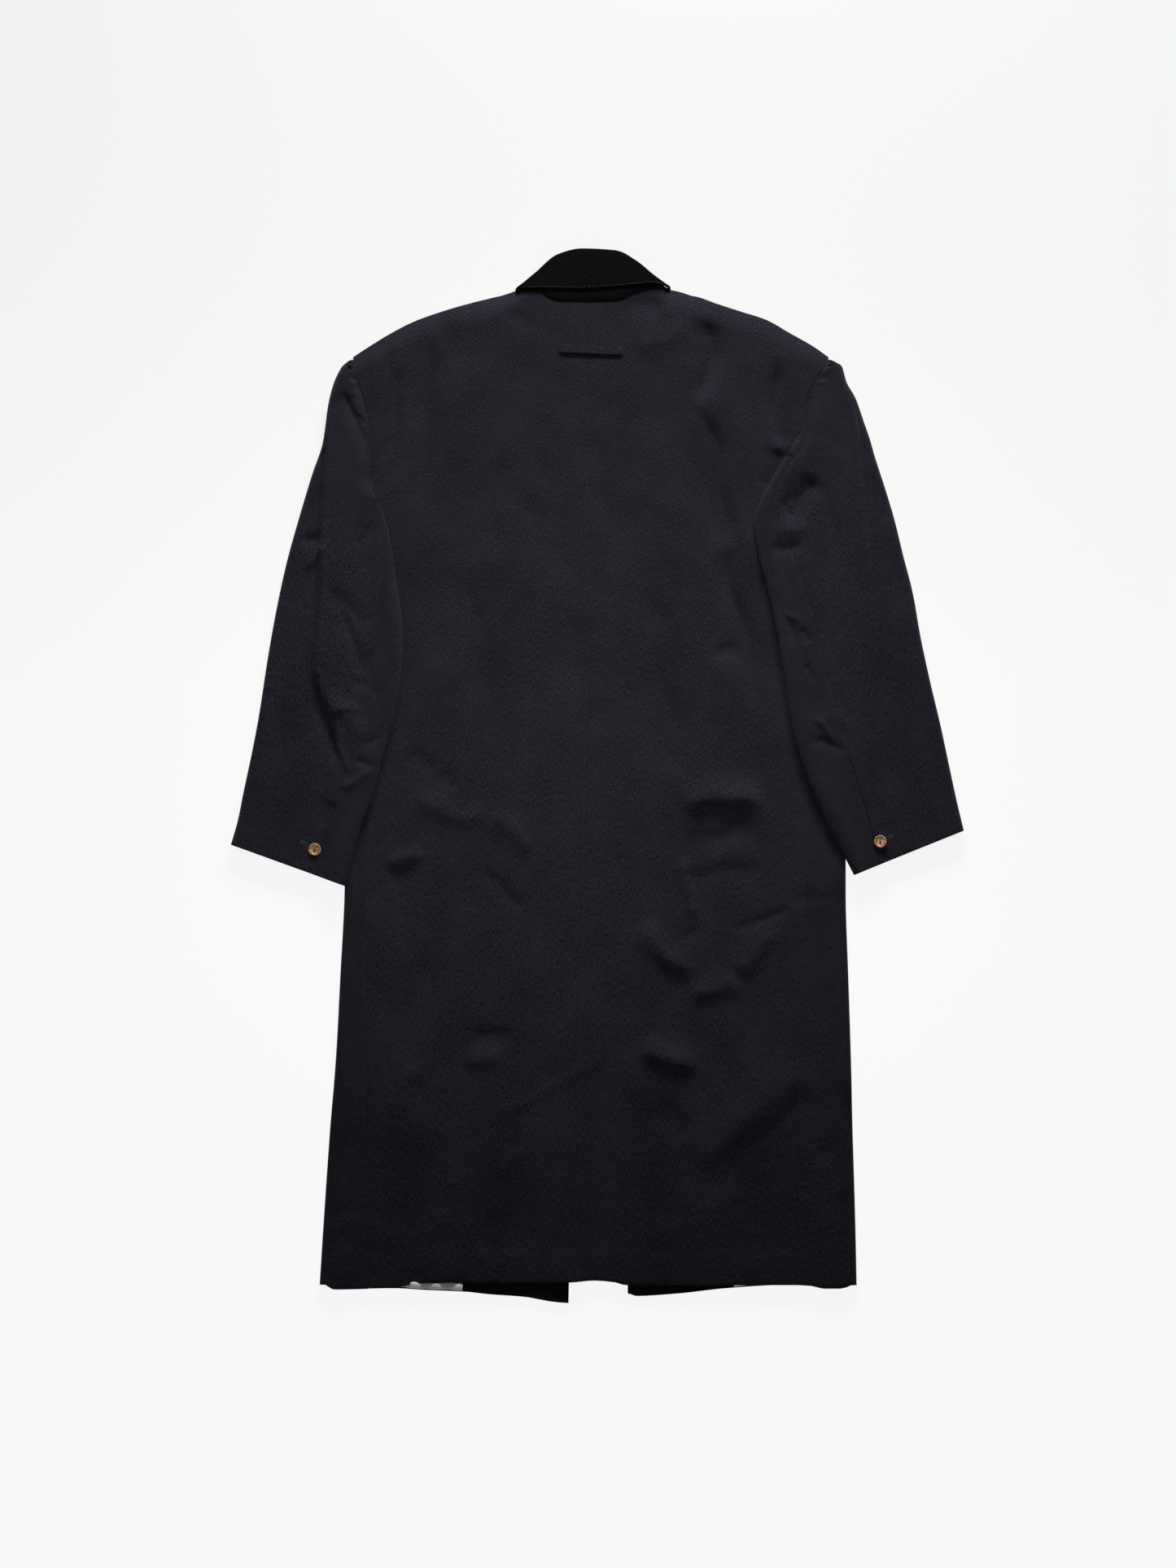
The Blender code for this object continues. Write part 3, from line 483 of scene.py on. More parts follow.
def body_height(x, y):
    """Height over the floor of the upper face of the body's cloth."""
    centre = body_line("centre", y)
    seam = np.where(x < centre, -body_line("seam_left", y), body_line("seam_right", y))
    middle, edge = (read(BODY_HEIGHTS, "y", column, y) for column in ("middle", "side"))
    height = mix(middle, edge, rise(x, centre, seam)) + creases(BACK_FOLDS, x, y) + swell(x, y)
    near = np.where(x < centre, *(read(SLEEVE_PRESS, "y", side, y) for side in SIDES))
    pressed = rise(y, 260, 100) * rise(y, -150, -110)
    height = height - SLEEVE_PRESS_DEPTH * pressed * bell(abs(x) - near, SLEEVE_PRESS_REACH)
    hollow = bell(x - SKIRT_HOLLOW_X, SKIRT_HOLLOW_REACH) * rise(y, -260, -460)
    height = np.maximum(height - SKIRT_HOLLOW_DEPTH * hollow, LEAST_HEIGHT)
    below_top = read(TOP_LINE, "x", "y", x) - y
    on_shoulder = rise(abs(x - NECK_MIDDLE_X), 76, 88)
    roll = 1 - np.sin(math.pi / 2 * np.clip(below_top / ROLL_DEPTH, 0, 1))
    return mix(height, SEAM_HEIGHT_BACK + CLOTH_WALL / 2, roll * on_shoulder)


def cloth(name, place, cells, wall, finish):
    """A sheet shaped by place(u, v), with its cut's size as its UV map, its wall and round edges.

    It returns the piece with the width, length and area that it was cut to.
    """
    across, along = cells
    bpy.ops.object.select_all(action="DESELECT")
    bpy.ops.mesh.primitive_grid_add(x_subdivisions=across, y_subdivisions=along, size=1)
    piece = bpy.context.object
    piece.name = piece.data.name = name
    mesh = piece.data
    spots = np.empty(3 * len(mesh.vertices), np.float32)
    mesh.vertices.foreach_get("co", spots)
    u, v = spots.reshape(-1, 3)[:, :2].T + 0.5
    points = MM * np.stack(np.broadcast_arrays(*place(u, v)), axis=1)
    mesh.vertices.foreach_set("co", points.astype(np.float32).ravel())
    grid = points.reshape(along + 1, across + 1, 3)
    width = np.linalg.norm(np.diff(grid, axis=1), axis=2).sum(axis=1).max()
    length = np.linalg.norm(np.diff(grid, axis=0), axis=2).sum(axis=0).max()
    area = sum(face.area for face in mesh.polygons)
    cut = np.empty(2 * len(mesh.loops), np.float32)
    mesh.uv_layers[0].data.foreach_get("uv", cut)
    cut = (cut.reshape(-1, 2) * (width, length)).astype(np.float32)
    mesh.uv_layers[0].data.foreach_set("uv", cut.ravel())
    thick = piece.modifiers.new("Wall", "SOLIDIFY")
    thick.thickness = wall * MM
    thick.offset = 0
    thick.use_quality_normals = True
    rim = piece.modifiers.new("Rim", "BEVEL")
    rim.width = 0.3 * wall * MM
    rim.segments = 2
    rim.limit_method = "ANGLE"
    rim.angle_limit = math.radians(62)
    for modifier in ("Wall", "Rim"):
        bpy.ops.object.modifier_apply(modifier=modifier)
    bpy.ops.object.shade_smooth_by_angle(angle=math.radians(50))
    mesh.materials.append(finish)
    return piece, width, length, area


def lay(made, stands_for):
    """Fixes a sheet to the coat in place of its solid.

    A strip narrower than 10 mm has that width with its turnings.
    """
    piece, width, length, area = made
    width, length = round(max(width, 0.01), 4), round(max(length, 0.01), 4)
    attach(piece, "root")
    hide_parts(stands_for)


def back_place(side):
    sign = SIDES[side]

    def place(u, v):
        v = v * (0.62 + 0.38 * v)
        shoulder = sign * body_line("seam_" + side, SHOULDER_Y)
        top_x = mix(body_line("centre", 540), shoulder, u)
        hem_x = mix(body_line("centre", -580), sign * body_line("seam_" + side, HEM_Y), u)
        top_y, hem_y = read(TOP_LINE, "x", "y", top_x), read(BACK_HEM, "x", "y", hem_x)
        y = mix(top_y, hem_y, v)
        inner = body_line("centre", y) - sign * SEAM_PRESS
        outer = sign * (body_line("seam_" + side, y) + SEAM_PRESS)
        x = mix(inner, outer, u)
        height = body_height(x, y) - CLOTH_WALL / 2
        height = height - SEAM_DIP * bell(x - inner, SEAM_DIP_REACH)
        height = height - SEAM_DIP * bell(x - outer, SEAM_DIP_REACH) * (y < UNDERARM_Y)
        turned_up = rise(y, hem_y + HEM_TURNING, hem_y + HEM_TURNING - HEM_STEP)
        return x, y, height + HEM_RAISED * turned_up

    return place


for side in SIDES:
    lay(cloth("back_" + side + "_cloth", back_place(side), (76, 330), CLOTH_WALL, melton),
        "back_" + side)

# The two fronts: face down on the floor, each turned up round the side of the coat to the side
# seam. Melton, with the front edges apart by a hand's width at the hem.

WRAP_STARTS_Y = 258
WRAP_ENDS_Y = 205
SIDE_FOLD_HALF_WIDTH = 6
ARMHOLE_GAP = 0.4
SEAM_HEIGHT_FRONT = 5.0
FRONT_ROLL_DEPTH = 14
FRONT_TOP_Y = 440

# Shares of a crosswise line at which it leaves the floor, and at which it lies on the back.
FLOOR_SHARE = 0.45
STRIP_SHARE = 0.82

FRONT_TOP_LINE = table(
    "x y",
    *LEFT_SHOULDER,
    (-104, 549), (-94, 540), (-72, 514), (-50, 487), (-8, 440), (4, 440), (38, 487), (60, 513),
    (84, 541), (94, 550),
    *RIGHT_SHOULDER,
)
FRONT_HEM = table(
    "x y",
    (-318, -580), (-305, -586), (-236, -585), (-199, -587), (-153, -589), (-125, -592),
    (-83, -595), (-55, -600), (-33, -602), (35, -591), (43, -594), (94, -591), (150, -585),
    (225, -581), (247, -582), (261, -585), (285, -585), (296, -581),
)


def front_height(x, y):
    """Height over the floor of the middle of the front's cloth, where it lies face down."""
    below_top = read(FRONT_TOP_LINE, "x", "y", x) - y
    on_shoulder = rise(abs(x - NECK_MIDDLE_X), 96, 106)
    lift = (1 - np.sin(math.pi / 2 * np.clip(below_top / FRONT_ROLL_DEPTH, 0, 1))) * on_shoulder
    return CLOTH_WALL / 2 + (SEAM_HEIGHT_FRONT - CLOTH_WALL / 2) * lift


def front_place(side):
    sign = SIDES[side]

    def place(u, v):
        v = v * (0.7 + 0.3 * v)
        top_out = mix(sign * body_line("front_" + side, FRONT_TOP_Y),
                      body_line("fold_" + side, SHOULDER_Y), u)
        top_y = read(FRONT_TOP_LINE, "x", "y", sign * top_out)
        front_out = sign * body_line("front_" + side, -600)
        fold_out = body_line("fold_" + side, -580)
        hem_out = mix(front_out, fold_out, np.minimum(u / FLOOR_SHARE, 1))
        strip = np.clip((u - STRIP_SHARE) / (1 - STRIP_SHARE), 0, 1)
        hem_out = mix(hem_out, body_line("seam_" + side, HEM_Y), strip)
        y = mix(top_y, read(FRONT_HEM, "x", "y", sign * hem_out), v)
        fold, seam = body_line("fold_" + side, y), body_line("seam_" + side, y)
        start = sign * body_line("front_" + side, y)
        wrap = rise(y, WRAP_STARTS_Y, WRAP_ENDS_Y)
        width = np.minimum(SIDE_FOLD_HALF_WIDTH, np.maximum(fold - seam - 1, 2))
        floor_length = mix(fold - ARMHOLE_GAP / 2 - start, fold - width - start, wrap)
        upper = body_height(sign * seam, y) - CLOTH_WALL / 2
        lower = CLOTH_WALL / 2
        arc_length = math.pi / 2 * (width + (upper - lower) / 2)
        strip_length = np.maximum(fold - width - seam + SEAM_PRESS, 0.4)
        turned = np.clip((u - FLOOR_SHARE) / (STRIP_SHARE - FLOOR_SHARE), 0, 1)
        full = floor_length * np.minimum(u / FLOOR_SHARE, 1) + arc_length * turned
        walk = mix(floor_length * u, full + strip_length * strip, wrap)
        angle = math.pi * np.clip((walk - floor_length) / arc_length, 0, 1)
        past = np.maximum(walk - floor_length - arc_length, 0)
        on_floor = walk <= floor_length
        out = np.where(on_floor, start + walk, fold - width + width * np.sin(angle) - past)
        arc_height = mix(lower, upper, (1 - np.cos(angle)) / 2)
        strip_height = body_height(sign * out, y) - CLOTH_WALL / 2
        strip_height = strip_height - SEAM_DIP * bell(out - seam, SEAM_DIP_REACH)
        height = mix(arc_height, strip_height, rise(past, 0, 8))
        height = np.where(on_floor, front_height(sign * out, y), height)
        return sign * out, y, height

    return place


for side in SIDES:
    lay(cloth("front_" + side + "_cloth", front_place(side), (54, 240), CLOTH_WALL, melton),
        "front_" + side)

# The facings: a black strip inside each front edge, full length, seen only where the fronts reach
# below the back's hem.

FACING_WALL = 1.4
FACING_WIDTH_SKIRT = 120
FACING_WIDTH_CHEST = 90
FACING_INSIDE_EDGE = 0.5
STRIPS_TOP_Y = 432

facing_black = napped("facing_black", dark=(0.0035, 0.0035, 0.004), light=(0.008, 0.008, 0.0085),
                      lint=(0.05, 0.05, 0.05), roughness=0.85, specular=0.12,
                      sheen=(0.03, 0.5, (0.8, 0.8, 0.9)), bump=0.0002)


def strip_place(side, inner, outer, above_hem, wall, waves):
    """A strip inside a front between two distances out at each y.

    The waves are in millimetres. Where the back's hem leaves the strip bare, it puffs up in them.
    """
    sign = SIDES[side]

    def place(u, v):
        hem_out = mix(inner(HEM_Y), outer(HEM_Y), u)
        hem_y = read(FRONT_HEM, "x", "y", sign * hem_out) + above_hem
        y = mix(STRIPS_TOP_Y, hem_y, 1 - (1 - v) ** 1.8)
        out = mix(inner(y), outer(y), u)
        ripple = waves * (1 + np.sin(out / 7 + y / 41)) * np.sin(math.pi * u) / 2
        puffed = rise(y, hem_y + 8.2, hem_y + 5.7) * rise(y, hem_y - 1, hem_y + 1.5)
        puff = 18 * waves * puffed * (0.6 + 0.4 * np.sin(out / 4.1 + 0.8)) * rise(out, 225, 213)
        return sign * out, y, CLOTH_WALL + SEAM_GAP + wall / 2 + ripple + puff

    return place


def facing_edges(side):
    """The two edges of a facing, each as a function that gives its distance out at y."""
    def near(y):
        return SIDES[side] * body_line("front_" + side, y) + FACING_INSIDE_EDGE

    def far(y):
        return near(y) + mix(FACING_WIDTH_SKIRT, FACING_WIDTH_CHEST, rise(y, -100, 400))

    return near, far


for side in SIDES:
    near, far = facing_edges(side)
    lay(cloth("facing_" + side + "_cloth", strip_place(side, near, far, 0.4, FACING_WALL, 0),
              (16, 150), FACING_WALL, facing_black),
        "facing_" + side)

# The lining of each front: silver-grey satin from the facing to near the side fold, a finger's
# width short of the front's hem. A little of it shows beside each facing.

LINING_WALL = 1.0
LINING_SHORT_OF_FOLD = 46
LINING_ABOVE_HEM = 2.2
LINING_WAVES = 0.25


def satin_finish():
    """Warp-faced satin: a fine lengthwise weave, a soft gloss and faint creases."""
    finish, tree, shader = new_finish("silver_grey_satin", 0.42)
    shader.inputs["Anisotropic"].default_value = 0.5
    where = node(tree, "TexCoord")
    threads = node(tree, "Mapping", {"Vector": where.outputs["UV"], "Scale": (3200, 500, 1)})
    weave = node(tree, "TexNoise", {"Vector": threads.outputs[0], "Scale": 1, "Detail": 2})
    worn = node(tree, "TexNoise", {"Vector": where.outputs["UV"], "Scale": 45, "Detail": 3})
    mixed = node(tree, "Math", {0: weave.outputs["Fac"], 1: worn.outputs["Fac"]}, operation="ADD")
    part = node(tree, "MapRange", {"Value": mixed.outputs[0], "From Min": 0.7, "From Max": 1.3})
    colour = node(tree, "Mix", {"Factor": part.outputs[0], "A": (0.68, 0.68, 0.62, 1),
                                "B": (0.86, 0.86, 0.8, 1)}, data_type="RGBA")
    raised = node(tree, "Bump", {"Height": part.outputs[0], "Distance": 0.0001, "Strength": 0.4})
    tree.links.new(colour.outputs["Result"], shader.inputs["Base Color"])
    tree.links.new(raised.outputs["Normal"], shader.inputs["Normal"])
    return finish


satin = satin_finish()
for side in SIDES:
    def beside_facing(y, far=facing_edges(side)[1]):
        return far(y) + 1

    def near_fold(y, side=side):
        return body_line("fold_" + side, y) - LINING_SHORT_OF_FOLD

    place = strip_place(side, beside_facing, near_fold, LINING_ABOVE_HEM, LINING_WALL, LINING_WAVES)
    lay(cloth("lining_" + side + "_cloth", place, (24, 150), LINING_WALL, satin),
        "lining_" + side)

# The sleeves: each is a wide top sleeve and a narrow under sleeve of melton, joined by a hind seam
# that shows and a front seam below. Their inner folds lie over the back, and the outer part drops
# at a pressed ridge.

SLEEVE_FOLD_HALF_WIDTH = 5
SLEEVE_ROLL_HALF_WIDTH = 8
SLEEVE_RAMP_START = 7
SLEEVE_RAMP_WIDTH = 12
LAYER_GAP = 0.5

# The hind seam is sewn down to this row and open from there to the cuff.
VENT_ROW = 13.4
VENT_SOFTNESS = 0.4
VENT_LIFT = 0.8
VENT_REACH = 7
SLEEVE_SEAM_DIP = 0.5
SLEEVE_SEAM_DIP_REACH = 2.2

# The pressed ridge: how far the step beside it is levelled, its breadth as a share of the width at
# the shoulder and below the elbow, and the crest that runs along it.
RIDGE_SOFTENED = 0.5
RIDGE_BREADTH_ABOVE = 0.065
RIDGE_BREADTH_BELOW = 0.17
CREST_HEIGHT = 1.2
CREST_INSIDE = 3
CREST_REACH = 4

# Puckers of the eased cloth along the armhole seam, then the full roll along the inner fold.
PUCKER_HEIGHT = 0.8
PUCKER_INSIDE = 4
PUCKER_REACH = 6
ROLL_HEIGHT = 3.5
ROLL_INSIDE = 10
ROLL_REACH = 13

SLEEVE_COLUMNS = "outer outer_y inner inner_y under under_y hind ridge high low"

# Crosswise rows of each sleeve, shoulder to cuff. Outer is the silhouette. Inner is the armhole
# seam and, from FIRST_FOLD_ROW, the fold that lies over the back. Under is the end of the top
# sleeve below: the front's armhole, then the front seam. Hind and ridge are shares of the way
# from inner to outer, for the hind seam and the step down. High and low are the heights of the
# upper face on each side of that step.
SLEEVES = {
    "left": table(
        SLEEVE_COLUMNS,
        (285, 473, 280, 476, 281, 475, 0, 1, 13, 12),
        (290, 469, 277, 462, 275, 463, 0, 1, 15, 12),
        (300, 450, 273, 449, 270, 448, 0, 1, 16, 12),
        (307, 422, 264, 422, 260, 422, 0, 1, 17, 11),
        (310, 399, 260, 397, 252, 397, 0, 1, 18, 10.5),
        (313, 380, 258, 370, 248, 370, 0, 0.94, 18, 10),
        (324, 348, 257, 337, 247, 337, 0, 0.82, 18, 9.5),
        (330, 329, 249, 312, 253, 308, 0.04, 0.79, 17.5, 9),
        (341, 292, 239, 278, 275, 285, 0.07, 0.75, 17, 8.5),
        (355, 241, 230, 219, 305, 237, 0.135, 0.7, 17, 8.5),
        (366, 190, 223, 166, 325, 185, 0.22, 0.67, 17, 8.5),
        (376, 134, 225, 111, 340, 130, 0.264, 0.655, 17, 8.5),
        (386, 69, 232, 69, 352, 72, 0.295, 0.47, 16.5, 8.5),
        (394, 27, 246, 20, 362, 24, 0.315, 0.36, 16, 8.5),
        (404, -20, 256, -20, 372, -24, 0.27, 0.325, 15.5, 8.5),
        (410, -50, 272, -62, 378, -56, 0.262, 0.235, 15, 8.5),
        (418, -78, 288, -125, 386, -90, 0.255, 0.16, 14.5, 8.5),
    ),
    "right": table(
        SLEEVE_COLUMNS,
        (271, 473, 265, 476, 266, 475, 0, 1, 13, 12),
        (278, 469, 258, 466, 259, 464, 0, 1, 15, 12),
        (284, 450, 248, 450, 253, 450, 0, 0.95, 16, 11),
        (294, 432, 238, 432, 245, 432, 0, 0.93, 17, 10.5),
        (304, 404, 235, 402, 235, 402, 0, 0.88, 18, 10),
        (310, 387, 226, 387, 232, 385, 0, 0.86, 18, 9.5),
        (316, 366, 215, 365, 233, 352, 0.03, 0.83, 17.5, 9),
        (328, 329, 194, 328, 262, 322, 0.08, 0.81, 17, 8.5),
        (339, 292, 180, 292, 292, 285, 0.17, 0.79, 17, 8.5),
        (348, 255, 185, 253, 315, 245, 0.235, 0.775, 17, 8.5),
        (360, 208, 197, 206, 330, 200, 0.26, 0.72, 17, 8.5),
        (368, 162, 207, 159, 340, 155, 0.28, 0.68, 17, 8.5),
        (380, 106, 216, 106, 351, 102, 0.3, 0.62, 16.5, 8.5),
        (391, 60, 225, 50, 360, 54, 0.335, 0.55, 16, 8.5),
        (400, 18, 238, 6, 370, 12, 0.34, 0.48, 15.5, 8.5),
        (409, -24, 257, -40, 378, -32, 0.325, 0.36, 14.5, 8.5),
        (418, -62, 294, -112, 386, -74, 0.24, 0.3, 12.5, 8.5),
    ),
}
FIRST_FOLD_ROW = {"left": 7, "right": 6}
FIRST_CLOSED_ROW = {"left": 9, "right": 10}

# Shares of a crosswise line at which its stretches end: for the top sleeve, below and round the
# outer fold. For the under sleeve, above, round the inner fold, on the body and down its side, and
# then the share of its length that the hollowed top edge takes up.
TOP_SLEEVE_PARTS = (0.14, 0.3)
UNDER_SLEEVE_PARTS = (0.3, 0.5, 0.66, 0.8, 0.3)
SCYE_BELOW_UNDERARM = 8

# Folds of both sleeves, in the same terms as those of the back.
SLEEVE_FOLDS = table(
    "x0 y0 x1 y1 x2 y2 width height",
    (-291, 442, -275, 407, -260, 370, 10, -3.6),
    (-307, 212, -285, 197, -264, 169, 12, -1.6),
    (-294, 186, -275, 147, -257, 108, 9, -2.6),
    (-281, 110, -268, 108, -254, 112, 7, -2),
    (-307, 91, -286, 69, -264, 41, 12, 2),
    (-279, 262, -266, 279, -253, 291, 5, -1),
    (-334, 238, -322, 249, -312, 262, 6, 2.4),
    (-342, 270, -329, 270, -316, 270, 8, -2.6),
    (-286, 470, -279, 461, -273, 450, 4, -1.4),
    (-275, 419, -266, 411, -256, 402, 4, -1.4),
    (-324, 89, -311, 46, -292, 7, 9, -2.6),
    (-295, -12, -273, -4, -253, 10, 5, 1.6),
    (-268, 38, -251, 45, -235, 54, 5, -1.6),
    (-309, 50, -301, 33, -296, 17, 5, -1.4),
    (-355, 190, -361, 97, -366, 8, 16, -1.2),
    (-305, -25, -312, -45, -317, -62, 8, -1.4),
    (253, 342, 234, 316, 208, 298, 15, -4.6),
    (197, 280, 218, 283, 242, 286, 10, 2.2),
    (193, 262, 212, 263, 231, 266, 7, -2),
    (201, 216, 212, 184, 226, 150, 9, -2.8),
    (270, 376, 259, 236, 242, 80, 15, -1.6),
    (238, 35, 262, 36, 289, 30, 6, -1.8),
    (249, 464, 254, 457, 259, 448, 4, -1.4),
    (236, 443, 243, 436, 249, 428, 4, -1.4),
    (229, 405, 235, 399, 242, 393, 4, -1.4),
    (254, 449, 238, 402, 220, 355, 7, -2.2),
    (243, 57, 264, 63, 288, 70, 14, 1.6),
    (329, 148, 335, 50, 337, -32, 15, -1.2),
    (232, 23, 247, 9, 260, -8, 6, -1.2),
    (309, 44, 314, -8, 319, -56, 9, -1),
    (230, 172, 237, 160, 240, 148, 4, -1.8),
    (240, 126, 246, 115, 251, 104, 4, -1.8),
    (244, 68, 256, 52, 270, 36, 4, 1.6),
    (210, 190, 220, 182, 232, 180, 4, 1.4),
    (262, 330, 268, 250, 274, 150, 10, -1.6),
    (-304, 70, -288, 77, -270, 78, 4, 1.5),
    (-274, 24, -260, 17, -248, 6, 4, -1.6),
    (-298, 32, -287, 22, -280, 6, 4, 1.5),
    (-262, 150, -254, 120, -250, 84, 6, -1.6),
)


def sleeve_row(side, row):
    """The crosswise row of a sleeve at a row number, as a dictionary of its columns."""
    rows = dict(SLEEVES[side], row=np.arange(len(SLEEVES[side]["outer"]), dtype=float))
    r = {name: read(rows, "row", name, row) for name in SLEEVE_COLUMNS.split()}
    first = FIRST_FOLD_ROW[side]
    armhole = 1 - rise(row, first - 1, first)
    r["inner"] = mix(r["inner"], body_line("seam_" + side, r["inner_y"]), armhole)
    r["under"] = mix(r["under"], body_line("fold_" + side, r["under_y"]), armhole)
    r["width"] = np.hypot(r["outer"] - r["inner"], r["outer_y"] - r["inner_y"])
    least = (SLEEVE_ROLL_HALF_WIDTH + 1) / r["width"]
    r["hind"] = np.maximum(r["hind"], least) * rise(row, first - 0.15, first)
    return r


def sleeve_top(side, row, share):
    """Point on the upper face of a sleeve, a share of the way from its inner to its outer edge."""
    r = sleeve_row(side, row)
    first, inside = FIRST_FOLD_ROW[side], share * r["width"]
    out = mix(r["inner"], r["outer"], share)
    y = mix(r["inner_y"], r["outer_y"], share)
    breadth = mix(RIDGE_BREADTH_ABOVE, RIDGE_BREADTH_BELOW, rise(row, 10.5, 13))
    step = smooth_step((r["ridge"] - share) / breadth + 0.5)
    height = mix(mix(r["low"], r["high"], RIDGE_SOFTENED), r["high"], step)
    crest = bell((share - r["ridge"]) * r["width"] + CREST_INSIDE, CREST_REACH)
    height = height + CREST_HEIGHT * crest * rise(row, 14, 12) * rise(row, 2, 5)
    relief = creases(SLEEVE_FOLDS, SIDES[side] * out, y) + 0.7 * swell(out + 40, y)
    height = height + relief * rise(share, 0, 0.12)
    pucker = np.sin(11 * row + 2 * np.sin(2.3 * row)) * bell(inside - PUCKER_INSIDE, PUCKER_REACH)
    height = height + PUCKER_HEIGHT * pucker * rise(row, first, first - 1.2)
    rolled = bell(inside - ROLL_INSIDE, ROLL_REACH)
    height = height + ROLL_HEIGHT * rolled * rise(row, first, first + 2.5)
    seam_height = body_height(SIDES[side] * r["inner"], r["inner_y"])
    from_seam = mix(seam_height, height, rise(share, 0, 0.3))
    return out, y, mix(from_seam, height, rise(row, first - 1.2, first))


def sleeve_below(side, out, y):
    """Height of the middle of the sleeve's lower layer, over the body and then on the floor."""
    fold = body_line("fold_" + side, y)
    inside = np.minimum(out, fold - 3)
    on_body = body_height(SIDES[side] * inside, y) + LAYER_GAP + CLOTH_WALL / 2
    ramp_start = fold + SLEEVE_RAMP_START
    return mix(on_body, CLOTH_WALL / 2, rise(out, ramp_start, ramp_start + SLEEVE_RAMP_WIDTH))


def seam_dip(distance):
    """How far a seam draws the cloth down at a distance from it."""
    return SLEEVE_SEAM_DIP * bell(distance, SLEEVE_SEAM_DIP_REACH)


def top_sleeve_place(side):
    """From its end below, round the outer fold and over the top to the armhole and hind seam."""
    last = len(SLEEVES[side]["outer"]) - 1
    sign = SIDES[side]
    below_end, fold_end = TOP_SLEEVE_PARTS

    def place(u, v):
        row = last * v
        r = sleeve_row(side, row)
        width = r["width"]
        half = np.minimum(SLEEVE_FOLD_HALF_WIDTH, 0.3 * width)
        top_end = 1 - half / width
        out_top, y_top, height_top = sleeve_top(side, row, top_end)
        lower = CLOTH_WALL / 2
        upper = height_top - CLOTH_WALL / 2
        share = np.clip(u / below_end, 0, 1)
        below = (mix(r["under"] + ARMHOLE_GAP / 2, out_top, share),
                 mix(r["under_y"], y_top, share), lower + 0 * u)
        angle = math.pi * np.clip((u - below_end) / (fold_end - below_end), 0, 1)
        share = top_end + half / width * np.sin(angle)
        fold = (mix(r["inner"], r["outer"], share), mix(r["inner_y"], r["outer_y"], share),
                mix(lower, upper, (1 - np.cos(angle)) / 2))
        end = r["hind"] - SEAM_PRESS / width
        share = mix(top_end, end, np.clip((u - fold_end) / (1 - fold_end), 0, 1))
        out, y, height = sleeve_top(side, row, share)
        vent = rise(row, VENT_ROW, VENT_ROW + VENT_SOFTNESS)
        from_seam = (share - end) * width
        top = (out, y, height - CLOTH_WALL / 2 - (1 - vent) * seam_dip(from_seam)
               + VENT_LIFT * vent * bell(from_seam, VENT_REACH))
        out, y, height = (
            np.where(u <= below_end, a, np.where(u <= fold_end, b, c))
            for a, b, c in zip(below, fold, top)
        )
        return sign * out, y, height

    return place


